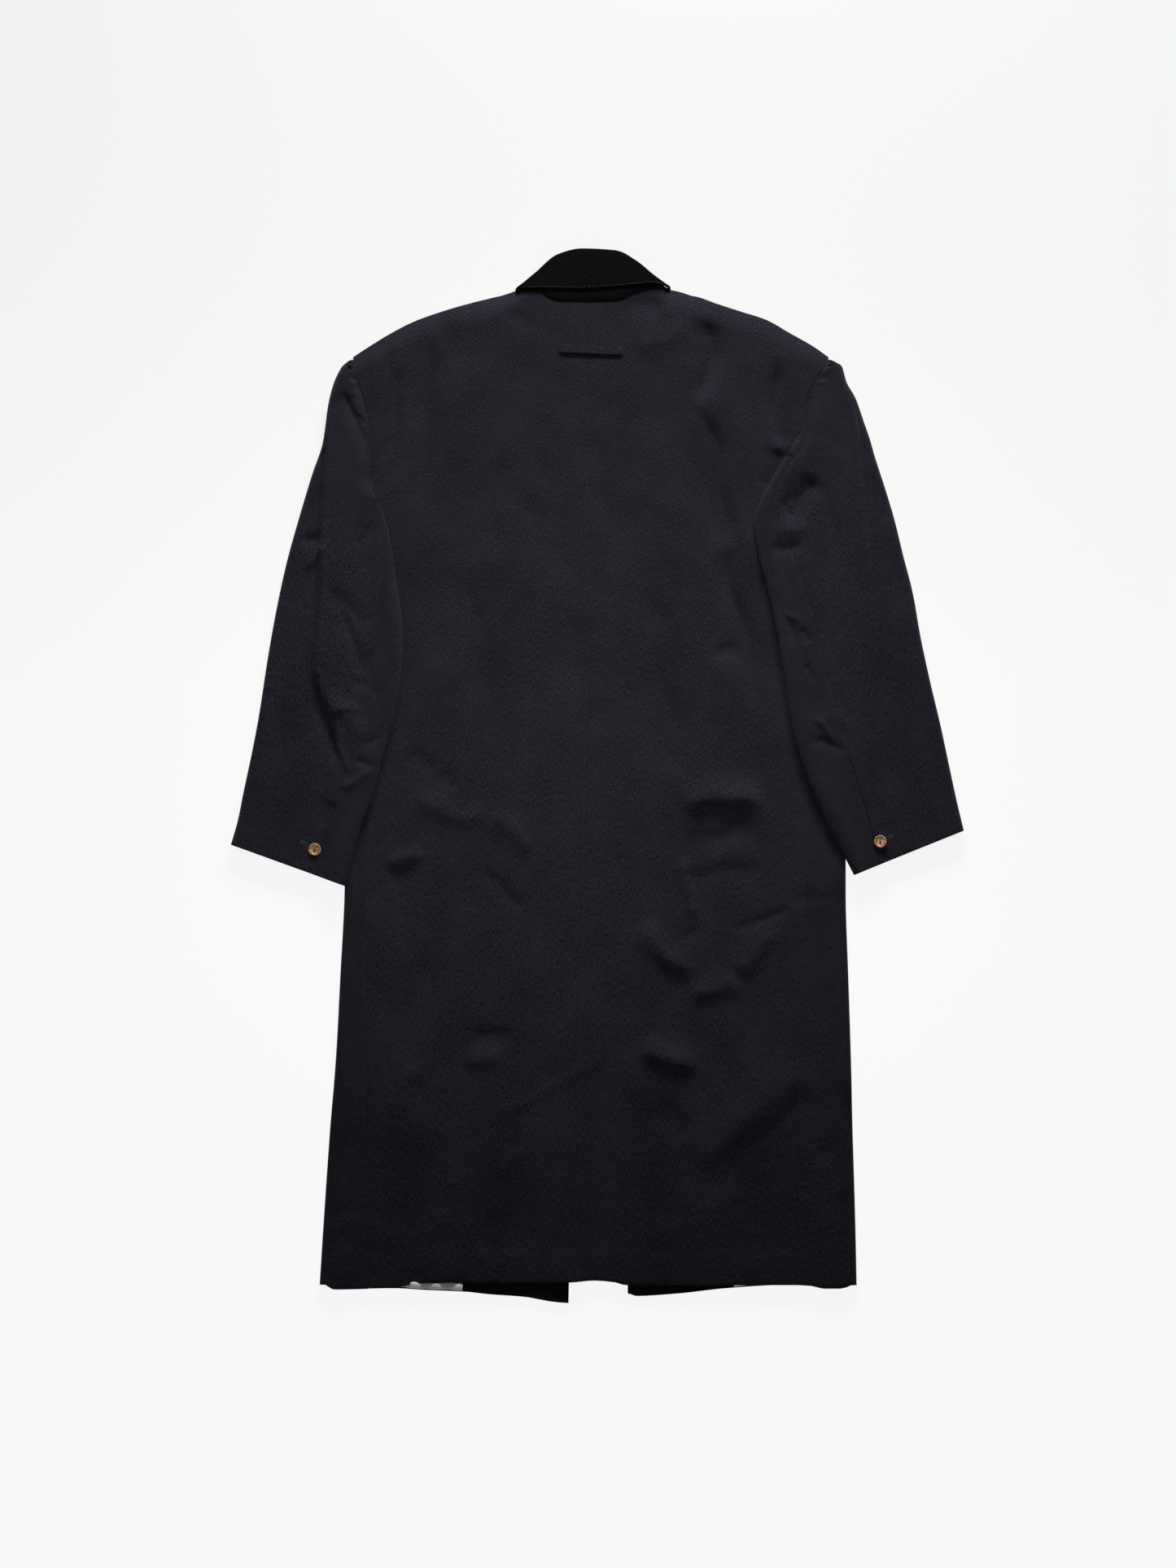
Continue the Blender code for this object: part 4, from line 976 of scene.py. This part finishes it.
def under_sleeve_place(side):
    """From the hind seam round the inner fold and out below to the front seam."""
    first, closed = FIRST_FOLD_ROW[side], FIRST_CLOSED_ROW[side]
    last = len(SLEEVES[side]["outer"]) - 1
    sign = SIDES[side]
    top_end, fold_end, body_end, ramp_end, scye_end = UNDER_SLEEVE_PARTS

    def ring(u, row):
        """A point of the closed tube's row: hind seam, inner fold, then out below."""
        r = sleeve_row(side, row)
        width = r["width"]
        start = SLEEVE_ROLL_HALF_WIDTH / width
        upper = sleeve_top(side, row, start)[2] - CLOTH_WALL / 2
        hind = r["hind"] + SEAM_PRESS / width
        share = mix(hind, start, np.clip(u / top_end, 0, 1))
        out, y, height = sleeve_top(side, row, share)
        vent = rise(row, VENT_ROW, VENT_ROW + VENT_SOFTNESS)
        top = out, y, height - CLOTH_WALL / 2 - (1 + 0.4 * vent) * seam_dip((share - hind) * width)
        angle = math.pi * np.clip((u - top_end) / (fold_end - top_end), 0, 1)
        share = start * (1 - np.sin(angle))
        out, y = mix(r["inner"], r["outer"], share), mix(r["inner_y"], r["outer_y"], share)
        lower = sleeve_below(side, mix(r["inner"], r["outer"], start), y)
        fold = out, y, mix(upper, lower, (1 - np.cos(angle)) / 2)
        begin = mix(r["inner"], r["outer"], start), mix(r["inner_y"], r["outer_y"], start)
        end_gap = 2 * SEAM_GAP + 1.4 * rise(row, closed, closed - 2)
        armhole = body_line("fold_" + side, r["under_y"]) + 1.2
        end = np.maximum(r["under"] - end_gap, armhole), r["under_y"]
        side_fold = body_line("fold_" + side, begin[1])
        ramp_start = side_fold + SLEEVE_RAMP_START
        ramp_from = np.maximum(ramp_start, begin[0] + 3)
        ramp_to = np.maximum(ramp_start + SLEEVE_RAMP_WIDTH, ramp_from + 5)
        out = mix(begin[0], ramp_from, np.clip((u - fold_end) / (body_end - fold_end), 0, 1))
        out = mix(out, ramp_to, np.clip((u - body_end) / (ramp_end - body_end), 0, 1))
        out = mix(out, end[0], np.clip((u - ramp_end) / (1 - ramp_end), 0, 1))
        y = mix(begin[1], end[1], (out - begin[0]) / (end[0] - begin[0]))
        below = out, y, sleeve_below(side, out, y)
        return [
            np.where(u <= top_end, a, np.where(u <= fold_end, b, c))
            for a, b, c in zip(top, fold, below)
        ]

    def scye(u):
        """A point of the hollowed top edge, along the back's armhole and then the front's."""
        t = np.clip((u - fold_end) / (1 - fold_end), 0, 1)
        lowest = UNDERARM_Y - SCYE_BELOW_UNDERARM
        begin, end = ring(fold_end + 0 * u, first), ring(1 + 0 * u, first)
        arc = np.sin(math.pi * t)
        y_back = mix(begin[1], lowest, arc)
        out_back = mix(begin[0], body_line("seam_" + side, y_back) - 1, rise(t, 0, 0.2))
        on_body = body_height(sign * out_back, y_back) + LAYER_GAP + CLOTH_WALL / 2
        y_front = mix(end[1], lowest, arc)
        fold = body_line("fold_" + side, y_front)
        out_front = mix(end[0], fold + 1.6, rise(t, 1, 0.8))
        over = rise(t, 0.42, 0.58)
        low = (mix(out_back, out_front, over), mix(y_back, y_front, over),
               mix(on_body, CLOTH_WALL / 2, over))
        return [np.where(u <= fold_end, a, b) for a, b in zip(ring(u, first), low)]

    def place(u, v):
        w = np.clip(v / scye_end, 0, 1)
        row = mix(first, closed, w)
        low = np.maximum(u, fold_end)
        t = (low - fold_end) / (1 - fold_end)
        begin, end = fold_end + 0 * u, 1 + 0 * u
        corner = scye(begin), ring(begin, closed), scye(end), ring(end, closed)
        fold, front = ring(begin, row), ring(end, row)
        front[2] = CLOTH_WALL / 2 + 0 * u
        below = [
            mix(a, b, w) + mix(c - mix(e, f, w), d - mix(g, h, w), t)
            for a, b, c, d, e, f, g, h in zip(scye(low), ring(low, closed), fold, front, *corner)
        ]
        upper = [np.where(u < fold_end, a, b) for a, b in zip(ring(u, row), below)]
        on_back = (u > fold_end) & (u < 0.75)
        on_back &= upper[0] < body_line("fold_" + side, upper[1]) + 3
        rest = sleeve_below(side, upper[0], upper[1])
        upper[2] = np.where(on_back, np.maximum(upper[2], rest), upper[2])
        upper[2] = np.maximum(upper[2], CLOTH_WALL / 2)
        tube = ring(u, mix(closed, last, np.clip((v - scye_end) / (1 - scye_end), 0, 1)))
        out, y, height = (np.where(v < scye_end, a, b) for a, b in zip(upper, tube))
        return sign * out, y, height

    return place


for side in SIDES:
    under = "under_sleeve_" + side
    lay(cloth(under + "_cloth", under_sleeve_place(side), (64, 190), CLOTH_WALL, melton),
        under)
    top = "top_sleeve_" + side
    lay(cloth(top + "_cloth", top_sleeve_place(side), (84, 230), CLOTH_WALL, melton),
        top)

# The collar: a stand and a turned-down leaf of black cotton velvet. It runs round the neck from
# its left end, under the coat, over the back of the neck and down to its right end.

COLLAR_WALL = 1.6
LEAF_OFFSET = 1.8
LEAF_FLAT_SHARE = 0.7
COLLAR_ROLL = 1.3
COLLAR_SEWN_IN = 1.3

# Height is that of the stand at the fold line.
COLLAR = table(
    "x height seam_y fold_y edge_y",
    (-50, 3.6, 484, 518, 491),
    (-72, 3.6, 511, 540, 518),
    (-88, 5.2, 538, 552, 545),
    (-91, 10.5, 552, 557, 554),
    (-84, 15.5, 554, 563, 557),
    (-69, 18, 554, 575.5, 558),
    (-45, 19, 543, 595, 557),
    (-17, 19.5, 542.5, 601.5, 556.5),
    (20, 19.5, 543, 599.5, 559),
    (43, 19, 552, 588.5, 561.5),
    (63, 18, 557, 572.5, 564),
    (76.5, 15.5, 556.5, 562.5, 559.5),
    (81, 11, 554, 559, 556),
    (76, 5.2, 540, 553, 547),
    (60, 3.6, 511, 540, 518),
    (38, 3.6, 484, 518, 491),
)

velvet = napped("black_velvet", dark=(0.0022, 0.0022, 0.0023), light=(0.0055, 0.0055, 0.0056),
                lint=(0.06, 0.06, 0.06), roughness=0.95, specular=0.05,
                sheen=(0.02, 0.35, (0.9, 0.9, 1)), bump=0.0003)


def collar_ring(u):
    """Station u of the collar, from 0 to 1, with the outward direction across its ring."""
    last = len(COLLAR["x"]) - 1
    rows = dict(COLLAR, row=np.arange(last + 1, dtype=float))
    row = u * last
    values = {name: read(rows, "row", name, row) for name in COLLAR}
    before, after = np.maximum(row - 0.2, 0), np.minimum(row + 0.2, last)
    along_x = read(rows, "row", "x", after) - read(rows, "row", "x", before)
    along_z = read(rows, "row", "height", after) - read(rows, "row", "height", before)
    length = np.hypot(along_x, along_z)
    values["out_x"], values["out_z"] = -along_z / length, along_x / length
    return values


def stand_point(ring, y):
    """Point of the stand's middle at station ring and at y, from the neck seam to the fold."""
    over_back = rise(ring["height"], 10, 16)
    neck = body_height(ring["x"], ring["seam_y"]) + LAYER_GAP + COLLAR_WALL / 2
    neck = mix(ring["height"], neck, over_back)
    share = (y - ring["seam_y"]) / (ring["fold_y"] - ring["seam_y"])
    sewn_in = COLLAR_SEWN_IN * over_back * rise(y, ring["seam_y"] + 7, ring["seam_y"])
    return ring["x"], y, mix(neck, ring["height"], smooth_step(share)) - sewn_in


def stand_place(u, v):
    ring = collar_ring(u)
    top = ring["fold_y"] - 2 * COLLAR_ROLL - 0.2
    return stand_point(ring, mix(ring["seam_y"], top, v))


def leaf_place(u, v):
    """The leaf starts at its free edge, lies over the stand and rolls in at the fold line."""
    ring = collar_ring(u)
    roll_y = ring["fold_y"] - COLLAR_ROLL
    flat = np.clip(v / LEAF_FLAT_SHARE, 0, 1)
    angle = math.pi * np.clip((v - LEAF_FLAT_SHARE) / (1 - LEAF_FLAT_SHARE), 0, 1)
    y = mix(np.minimum(ring["edge_y"], roll_y - 1), roll_y, flat) + COLLAR_ROLL * np.sin(angle)
    offset = LEAF_OFFSET / 2 * (1 + np.cos(angle))
    x, _, z = stand_point(ring, np.minimum(y, ring["fold_y"]))
    return x + ring["out_x"] * offset, y, z + ring["out_z"] * offset


lay(cloth("collar_stand_velvet", stand_place, (220, 14), COLLAR_WALL, velvet), "collar_stand")
lay(cloth("collar_leaf_velvet", leaf_place, (220, 22), COLLAR_WALL, velvet), "collar_leaf")

# The locker tab: a narrow strip of melton below the back of the neck, stitched down at both ends
# so that the coat can be hung up by it.

TAB_LENGTH = 75
TAB_WIDTH = 9.3
TAB_MIDDLE = (-7.5, 487.2)
TAB_SLOPE = -0.04
TAB_WALL = 1.2
TAB_CLEARANCE = 0.1
TAB_BOW_ABOVE = 0.5
TAB_BOW_BELOW = 1.2


def tab_place(u, v):
    x = TAB_MIDDLE[0] + TAB_LENGTH * (u - 0.5)
    y = TAB_MIDDLE[1] + TAB_SLOPE * (x - TAB_MIDDLE[0]) + TAB_WIDTH * (v - 0.5)
    off_ends = rise(u, 0, 0.1) * rise(u, 1, 0.9)
    bow = off_ends * (TAB_BOW_ABOVE + (TAB_BOW_BELOW - TAB_BOW_ABOVE) * (1 - v))
    return x, y, body_height(x, y) + TAB_WALL / 2 + TAB_CLEARANCE + bow


lay(cloth("locker_tab_strip", tab_place, (60, 10), TAB_WALL, melton), "locker_tab")

# A button of brown horn at each cuff: turned, with a raised rim round a shallow dish, two holes
# and a marbled grain.


def horn_finish():
    """Polished horn: pale, brown and nearly black bands that wander through each other."""
    finish, tree, shader = new_finish("brown_horn", 0.32)
    shader.inputs["Coat Weight"].default_value = 0.25
    where = node(tree, "TexCoord")
    bands = node(tree, "TexNoise", {"Vector": where.outputs["Object"], "Scale": 170, "Detail": 4,
                                    "Distortion": 2.2})
    ramp = node(tree, "ValToRGB", {"Fac": bands.outputs["Fac"]})
    ramp.color_ramp.elements[0].position = 0.3
    ramp.color_ramp.elements[0].color = (0.06, 0.022, 0.008, 1)
    ramp.color_ramp.elements[1].position = 0.72
    ramp.color_ramp.elements[1].color = (0.72, 0.46, 0.26, 1)
    middle = ramp.color_ramp.elements.new(0.5)
    middle.color = (0.4, 0.18, 0.065, 1)
    tree.links.new(ramp.outputs["Color"], shader.inputs["Base Color"])
    return finish


horn = horn_finish()

BUTTON_DIAMETER = 14.2
BUTTON_THICKNESS = 2.8
BUTTON_SUNK = 0.8
BUTTON_RIM = 1.5
BUTTON_DISH = 0.7
BUTTON_DISH_WALL = 0.7
BUTTON_DISH_SLOPE = 1.6
BUTTON_DISH_SLOPE_DEPTH = 0.15
BUTTON_FOOT_INSIDE = 1.8
BUTTON_FOOT_WALL = 0.3
BUTTON_FOOT_HEIGHT = 0.4
BUTTON_ROUND = 0.5
HOLE_DIAMETER = 1.9
HOLE_SPACING = 3.6

# Each button's row of the sleeve, share of the way from inner to outer, and tilt in degrees.
BUTTONS = {"left": (15.5, 0.32, 0), "right": (15.65, 0.32, -16)}


def pick(piece, wanted):
    """Leaves edit mode with only the wanted faces of a piece selected, then goes back."""
    bpy.ops.mesh.select_all(action="DESELECT")
    bpy.ops.object.mode_set(mode="OBJECT")
    for face in piece.data.polygons:
        face.select = bool(wanted(face))
    bpy.ops.object.mode_set(mode="EDIT")


def take(piece):
    """Selects one piece alone and makes it the active one."""
    bpy.ops.object.select_all(action="DESELECT")
    piece.select_set(True)
    bpy.context.view_layer.objects.active = piece


def turned_button(name):
    """A button lying flat at the origin: rim and dish above, a foot below, and two holes."""
    bpy.ops.object.select_all(action="DESELECT")
    bpy.ops.mesh.primitive_cylinder_add(
        vertices=72, radius=BUTTON_DIAMETER / 2 * MM, depth=BUTTON_THICKNESS * MM,
        location=(0, 0, BUTTON_THICKNESS / 2 * MM))
    button = bpy.context.object
    button.name = button.data.name = name
    bpy.ops.object.transform_apply(location=True, rotation=True, scale=True)
    bpy.ops.object.mode_set(mode="EDIT")
    bpy.ops.mesh.select_mode(type="FACE")
    pick(button, lambda face: face.normal.z > 0.9)
    bpy.ops.mesh.inset(thickness=BUTTON_RIM * MM, depth=0)
    bpy.ops.mesh.inset(thickness=BUTTON_DISH_WALL * MM, depth=-BUTTON_DISH * MM)
    bpy.ops.mesh.inset(thickness=BUTTON_DISH_SLOPE * MM, depth=-BUTTON_DISH_SLOPE_DEPTH * MM)
    pick(button, lambda face: face.normal.z < -0.9)
    bpy.ops.mesh.inset(thickness=BUTTON_FOOT_INSIDE * MM, depth=0)
    bpy.ops.mesh.inset(thickness=BUTTON_FOOT_WALL * MM, depth=BUTTON_FOOT_HEIGHT * MM)
    bpy.ops.object.mode_set(mode="OBJECT")
    soft = button.modifiers.new("Turned", "BEVEL")
    soft.width = BUTTON_ROUND * MM
    soft.segments = 3
    soft.limit_method = "ANGLE"
    soft.angle_limit = math.radians(25)
    bpy.ops.object.modifier_apply(modifier="Turned")
    for across in (-1, 1):
        bpy.ops.object.select_all(action="DESELECT")
        bpy.ops.mesh.primitive_cylinder_add(
            vertices=28, radius=HOLE_DIAMETER / 2 * MM, depth=3 * BUTTON_THICKNESS * MM,
            location=(0, across * HOLE_SPACING / 2 * MM, BUTTON_THICKNESS / 2 * MM))
        drill = bpy.context.object
        take(button)
        hole = button.modifiers.new("Hole", "BOOLEAN")
        hole.operation = "DIFFERENCE"
        hole.solver = "EXACT"
        hole.object = drill
        bpy.ops.object.modifier_apply(modifier="Hole")
        bpy.data.objects.remove(drill)
    bpy.ops.object.shade_smooth_by_angle(angle=math.radians(32))
    button.data.materials.append(horn)
    return button


def button_seat(side):
    """Where a button lies on its cuff: its place in millimetres and the turn that fits it."""
    row, share, tilt = BUTTONS[side]
    sign, radius = SIDES[side], BUTTON_DIAMETER / 2
    here = sleeve_top(side, row, share)
    angle = np.linspace(0, math.tau, 13)[:-1]
    reach = 0.7 * radius / sleeve_row(side, row)["width"]
    near = sleeve_top(side, row + 0.14 * np.sin(angle), share + reach * np.cos(angle))
    rim = np.stack([sign * (near[0] - here[0]), near[1] - here[1], near[2] - here[2]], axis=1)
    slope_x, slope_y = np.linalg.lstsq(rim[:, :2], rim[:, 2], rcond=None)[0]
    lift = max(rim[:, 2] - rim[:, :2] @ (slope_x, slope_y)) + SEAM_GAP
    lift = max(lift, SEAM_GAP) + radius * abs(math.sin(math.radians(tilt))) * 0.7
    turn = math.atan(slope_y), -math.atan(slope_x) + math.radians(tilt), 0
    return (sign * float(here[0]), float(here[1]), float(here[2]) + lift - BUTTON_SUNK), turn


def settle(piece, place, turn):
    """Turns a piece made at the origin, moves it to its place, and fixes both in its mesh."""
    take(piece)
    piece.location = [MM * value for value in place]
    piece.rotation_euler = turn
    bpy.ops.object.transform_apply(location=True, rotation=True, scale=True)


for side in SIDES:
    button = turned_button("cuff_button_" + side + "_horn")
    settle(button, *button_seat(side))
    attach(button, "root")
    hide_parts("cuff_button_" + side)

# The hand sewing: matt thread at the buttons' holes, the worked edge of each buttonhole, the tab's
# ends and the row of small stitches down the centre-back seam.


def thread_finish(name, colour):
    """Two-ply thread: plain colour with a fine twist."""
    finish, tree, shader = new_finish(name, 0.75)
    shader.inputs["Specular IOR Level"].default_value = 0.25
    where = node(tree, "TexCoord")
    ply = node(tree, "TexNoise", {"Vector": where.outputs["Object"], "Scale": 1400, "Detail": 1})
    dark = tuple(0.6 * c for c in colour)
    mixed = node(tree, "Mix", {"Factor": ply.outputs["Fac"], "A": (*dark, 1),
                               "B": (*colour, 1)}, data_type="RGBA")
    tree.links.new(mixed.outputs["Result"], shader.inputs["Base Color"])
    return finish


def sewn(name, spots, size, finish):
    """A run of stitches: one is modelled, then copied to each spot, along its own direction."""
    bpy.ops.object.select_all(action="DESELECT")
    bpy.ops.mesh.primitive_uv_sphere_add(segments=8, ring_count=6, radius=0.5 * MM)
    pattern = bpy.context.object
    pattern.scale = size
    bpy.ops.object.transform_apply(location=True, rotation=True, scale=True)
    bpy.ops.object.shade_smooth()
    pattern.data.materials.append(finish)
    copies = []
    for place, along in spots:
        turn = Vector(along).to_track_quat("X", "Z").to_matrix().to_4x4()
        stitch = bpy.data.objects.new(name, pattern.data.copy())
        stitch.data.transform(Matrix.Translation(MM * Vector(place)) @ turn)
        bpy.context.scene.collection.objects.link(stitch)
        copies.append(stitch)
    bpy.data.objects.remove(pattern)
    bpy.ops.object.select_all(action="DESELECT")
    for stitch in copies:
        stitch.select_set(True)
    bpy.context.view_layer.objects.active = copies[0]
    bpy.ops.object.join()
    run = bpy.context.object
    run.name = run.data.name = name
    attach(run, "root")


seam_thread = thread_finish("navy_thread", (0.021, 0.02, 0.026))
hole_thread = thread_finish("slate_thread", (0.062, 0.072, 0.078))
# The black thread is also the painted shade in each buttonhole's slit.
button_thread = thread_finish("black_thread_and_slit_shade", (0.012, 0.012, 0.013))

STITCH_PITCH = 3.4
STITCHES_TOP_Y = 455
STITCHES_END_Y = -565
STITCHES_BESIDE_SEAM = 1.5
STITCHES_SUNK = 0.25
stitch_y = np.arange(STITCHES_TOP_Y, STITCHES_END_Y, -STITCH_PITCH)
stitch_x = body_line("centre", stitch_y) + STITCHES_BESIDE_SEAM
stitch_z = body_height(stitch_x, stitch_y) - STITCHES_SUNK
sewn("centre_back_stitches",
     [((x, y, z), (0.06, 1, 0)) for x, y, z in zip(stitch_x, stitch_y, stitch_z)],
     size=(1.7, 0.45, 0.5), finish=seam_thread)

KNOT_Y = 361.8
knot_x = float(body_line("centre", KNOT_Y)) + 0.8
sewn("centre_back_knot", [((knot_x, KNOT_Y, float(body_height(knot_x, KNOT_Y))), (1, 0, 0))],
     size=(2.6, 2.2, 1.4), finish=button_thread)

tab_ends = []
for u in (0.03, 0.085, 0.915, 0.97):
    for v in np.linspace(0.14, 0.86, 4):
        x, y, z = (float(value) for value in tab_place(np.array(u), np.array(v)))
        tab_ends.append(((x, y, z + TAB_WALL / 2), (0, 1, 0)))
sewn("tab_end_stitches", tab_ends, size=(1.7, 0.45, 0.45), finish=seam_thread)

# The leaf's edge is felled with a paler thread, which shows as a broken line.
edge_thread = thread_finish("olive_grey_thread", (0.05, 0.046, 0.034))
station = np.linspace(0.3, 0.74, 52)
FELL_INSIDE = 0.03
edge = np.stack(leaf_place(station, 0 * station + FELL_INSIDE), axis=1)
ahead = np.stack(leaf_place(station + 0.002, 0 * station + FELL_INSIDE), axis=1)
sewn("collar_edge_stitches",
     [((x, y, z + COLLAR_WALL / 2), tuple(step)) for (x, y, z), step in zip(edge, ahead - edge)],
     size=(2.7, 0.5, 0.4), finish=edge_thread)


def on_sleeve(side, out, y):
    """Height of a sleeve's upper face at a distance out and a height y near its cuff."""
    row, share = np.meshgrid(np.linspace(14.6, 16, 141), np.linspace(0.1, 0.62, 261))
    at = sleeve_top(side, row, share)
    nearest = np.argmin((at[0] - out) ** 2 + (at[1] - y) ** 2)
    return float(at[2].flat[nearest])


# The far end of each buttonhole from the middle of its button, out and up the sleeve.
BUTTONHOLES = {"left": (15.8, 9.0), "right": (13.6, 6.2)}
BUTTONHOLE_START = 4.2
BUTTONHOLE_HALF_WIDTH = 1.5
WORKED_PITCH = 0.62
BAR_OFFSET = 0.45

for side in SIDES:
    sign = SIDES[side]
    (x, y, z), turn = button_seat(side)
    settled = Matrix.Translation((x, y, z)) @ Euler(turn).to_matrix().to_4x4()
    bars = []
    for across in (-BAR_OFFSET, BAR_OFFSET):
        middle = settled @ Vector((across, 0, BUTTON_THICKNESS - BUTTON_DISH + 0.15))
        bars.append((middle, settled.to_3x3() @ Vector((0, 1, 0))))
    sewn("cuff_button_thread_" + side, bars, size=(HOLE_SPACING + 0.6, 0.7, 0.8),
         finish=button_thread)
    far_out, far_up = BUTTONHOLES[side]
    length = math.hypot(far_out, far_up)
    along = np.array((sign * far_out, far_up)) / length
    beside = np.array((-along[1], along[0]))
    worked = []
    straight = np.arange(BUTTONHOLE_START, length - BUTTONHOLE_HALF_WIDTH, WORKED_PITCH)
    for lip in (-BUTTONHOLE_HALF_WIDTH, BUTTONHOLE_HALF_WIDTH):
        for walk in straight:
            worked.append((walk * along + lip * beside, beside))
    for angle in np.linspace(-80, 80, 8):
        outward = math.cos(math.radians(angle)) * along + math.sin(math.radians(angle)) * beside
        end = (length - BUTTONHOLE_HALF_WIDTH) * along + BUTTONHOLE_HALF_WIDTH * outward
        worked.append((end, outward))
    spots = []
    for step, direction in worked:
        px, py = x + step[0], y + step[1]
        spots.append(((px, py, on_sleeve(side, sign * px, py) + 0.1), (*direction, 0)))
    sewn("buttonhole_" + side, spots, size=(1.5, WORKED_PITCH, 0.7), finish=hole_thread)
    # Painted shade: flat blobs in the black thread's colour, laid along each buttonhole's slit, stand
    # for the shade inside the open slit.
    slit = []
    for walk in np.arange(4, length - 1.2, 1.0):
        px, py = np.array((x, y)) + walk * along
        slit.append(((px, py, on_sleeve(side, sign * px, py)), (*along, 0)))
    sewn("buttonhole_slit_painted_shade_" + side, slit, size=(2.2, 1.7, 0.3), finish=button_thread)
